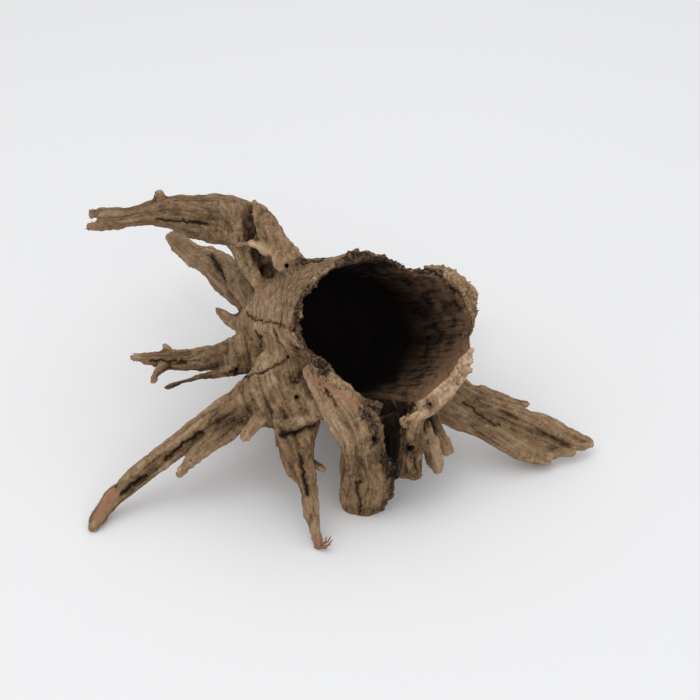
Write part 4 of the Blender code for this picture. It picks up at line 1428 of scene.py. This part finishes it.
# %% Splinters on the torn edges
BROKEN_TIPS = (
    stroke(6, 1.0, (-190, 76, 133), (-198, 78, 133)),
    stroke(6, 1.0, (-190, 67, 129), (-199, 65, 128)),
    stroke(5, 1.0, (-150, -32, 71), (-157, -30, 71)),
    stroke(5, 0.8, (52, -126, 34), (66, -127, 34)),
    stroke(5, 0.6, (162, -79, 6), (168, -80, 4)),
)


UPRIGHT = 0.35
DISORDER = 0.28


def lean_out(points, normals):
    """Splinters follow the fibres: along the trunk at the mouth, and away from the stump on the tips."""
    away = unit(points - MOUTH + AXIS * 0.09)
    at_mouth = near_mouth_edge(points)[:, None]
    lean = normals * UPRIGHT + AXIS * at_mouth + away * (1 - at_mouth)
    return unit(lean + rng.normal(0, DISORDER, points.shape))


points = vertex_points(root.data)
normals = vertex_normals(root.data)
at_edge = near_mouth_edge(points) > 0.75
torn = (at_edge | (marked(points, BROKEN_TIPS) > 0.5)).astype(float)
splinters = scatter_cones("splinters", torn, lean_out(points, normals), Density=70000.0, Gap=0.0018,
                          Seed=8, Outer_radius=0.00014, Inner_radius=0.00055, Above=0.0017, Below=0.0010,
                          Smallest=0.35)
print("splinters:", len(splinters.data.vertices) // 14)

# %% Frayed tip of the thin leg
FRAY_START = np.array((-0.0095, -0.1660, 0.0036))
# Where each fibre goes from the tip: to the right, towards the viewer, up.
FRAY_ENDS = ((0.0080, -0.0005, 0.0100), (0.0092, -0.0020, 0.0072), (0.0082, -0.0034, 0.0044),
             (0.0055, -0.0042, 0.0018), (0.0046, 0.0010, 0.0078), (-0.0018, -0.0044, 0.0008))
FRAY_BREADTH = 0.0007


def fray_fibre(end):
    """A thin curl that leaves the tip sideways and then bends up."""
    end = np.array(end)
    middle = FRAY_START + end * (0.55, 0.75, 0.25) + rng.normal(0, 0.0005, 3)
    path = ((*FRAY_START - (0.003, 0.0, 0.0), FRAY_BREADTH * 1.5), (*middle, FRAY_BREADTH),
            (*(FRAY_START + end), FRAY_BREADTH * 0.5))
    return loft(root_rings(Root(0.8, 3, 0.0, path)))


frayed_tip = mesh_piece("frayed_tip", [fray_fibre(end) for end in FRAY_ENDS])
print("the frayed tip has", len(FRAY_ENDS), "fibres")

# %% Loose pieces take the same colour
for piece in (splinters, frayed_tip):
    keep_marks(piece)
    for name in ("ridge", "valley", "furrow"):
        set_attribute(piece.data, name, np.zeros(len(piece.data.vertices)))
set_attribute(frayed_tip.data, "fresh", np.full(len(frayed_tip.data.vertices), 0.55))
for piece in (root, splinters, frayed_tip):
    piece.data.shade_smooth()
root.name = "weathered_root"

# %% [markdown]
# ## Floor and light
#
# The root is dark and the floor is almost white, so soft light from large panels keeps the shadows faint
# and still shows the relief. One panel shines from above and to the left, one from above and behind, and a
# lower one fills the front. A pale sky adds the rest.

# %% Floor
FLOOR_SIZE = 24.0


def floor_corners():
    return [(x * FLOOR_SIZE / 2, y * FLOOR_SIZE / 2, 0.0) for x, y in ((-1, -1), (1, -1), (1, 1), (-1, 1))]


mesh = bpy.data.meshes.new("floor")
mesh.from_pydata(floor_corners(), [], [(0, 1, 2, 3)])
floor = bpy.data.objects.new("floor", mesh)
bpy.context.scene.collection.objects.link(floor)
pale = bpy.data.materials.new("pale_floor")
pale.use_nodes = True
pale.node_tree.nodes["Principled BSDF"].inputs["Base Color"].default_value = (0.80, 0.80, 0.80, 1.0)
pale.node_tree.nodes["Principled BSDF"].inputs["Roughness"].default_value = 0.55
mesh.materials.append(pale)

# %% Lights
Panel = namedtuple("Panel", "place size power")
PANELS = {
    "key": Panel((-0.6, -0.4, 1.6), 1.5, 7.8),
    "front": Panel((0.5, -1.7, 0.9), 1.5, 6.5),
    "top": Panel((0.4, 0.8, 1.8), 1.6, 6.6),
}
for name, panel in PANELS.items():
    light = bpy.data.lights.new(name, "AREA")
    light.size = panel.size
    light.energy = panel.power
    lamp = bpy.data.objects.new(name, light)
    lamp.location = panel.place
    lamp.rotation_euler = (-Vector(panel.place)).to_track_quat("-Z", "Y").to_euler()
    bpy.context.scene.collection.objects.link(lamp)
world = bpy.data.worlds.new("soft sky")
world.use_nodes = True
world.node_tree.nodes["Background"].inputs["Color"].default_value = (0.94, 0.95, 0.97, 1.0)
world.node_tree.nodes["Background"].inputs["Strength"].default_value = 0.76
bpy.context.scene.world = world
bpy.context.scene.view_settings.view_transform = "Standard"
print(len(PANELS), "soft panels")

# %% [markdown]
# ## One body
#
# The three pieces are one body of wood, so they move together and share one finish.

# %% Finish
for piece in (root, splinters, frayed_tip):
    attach(piece, "root")
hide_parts("dry_root")
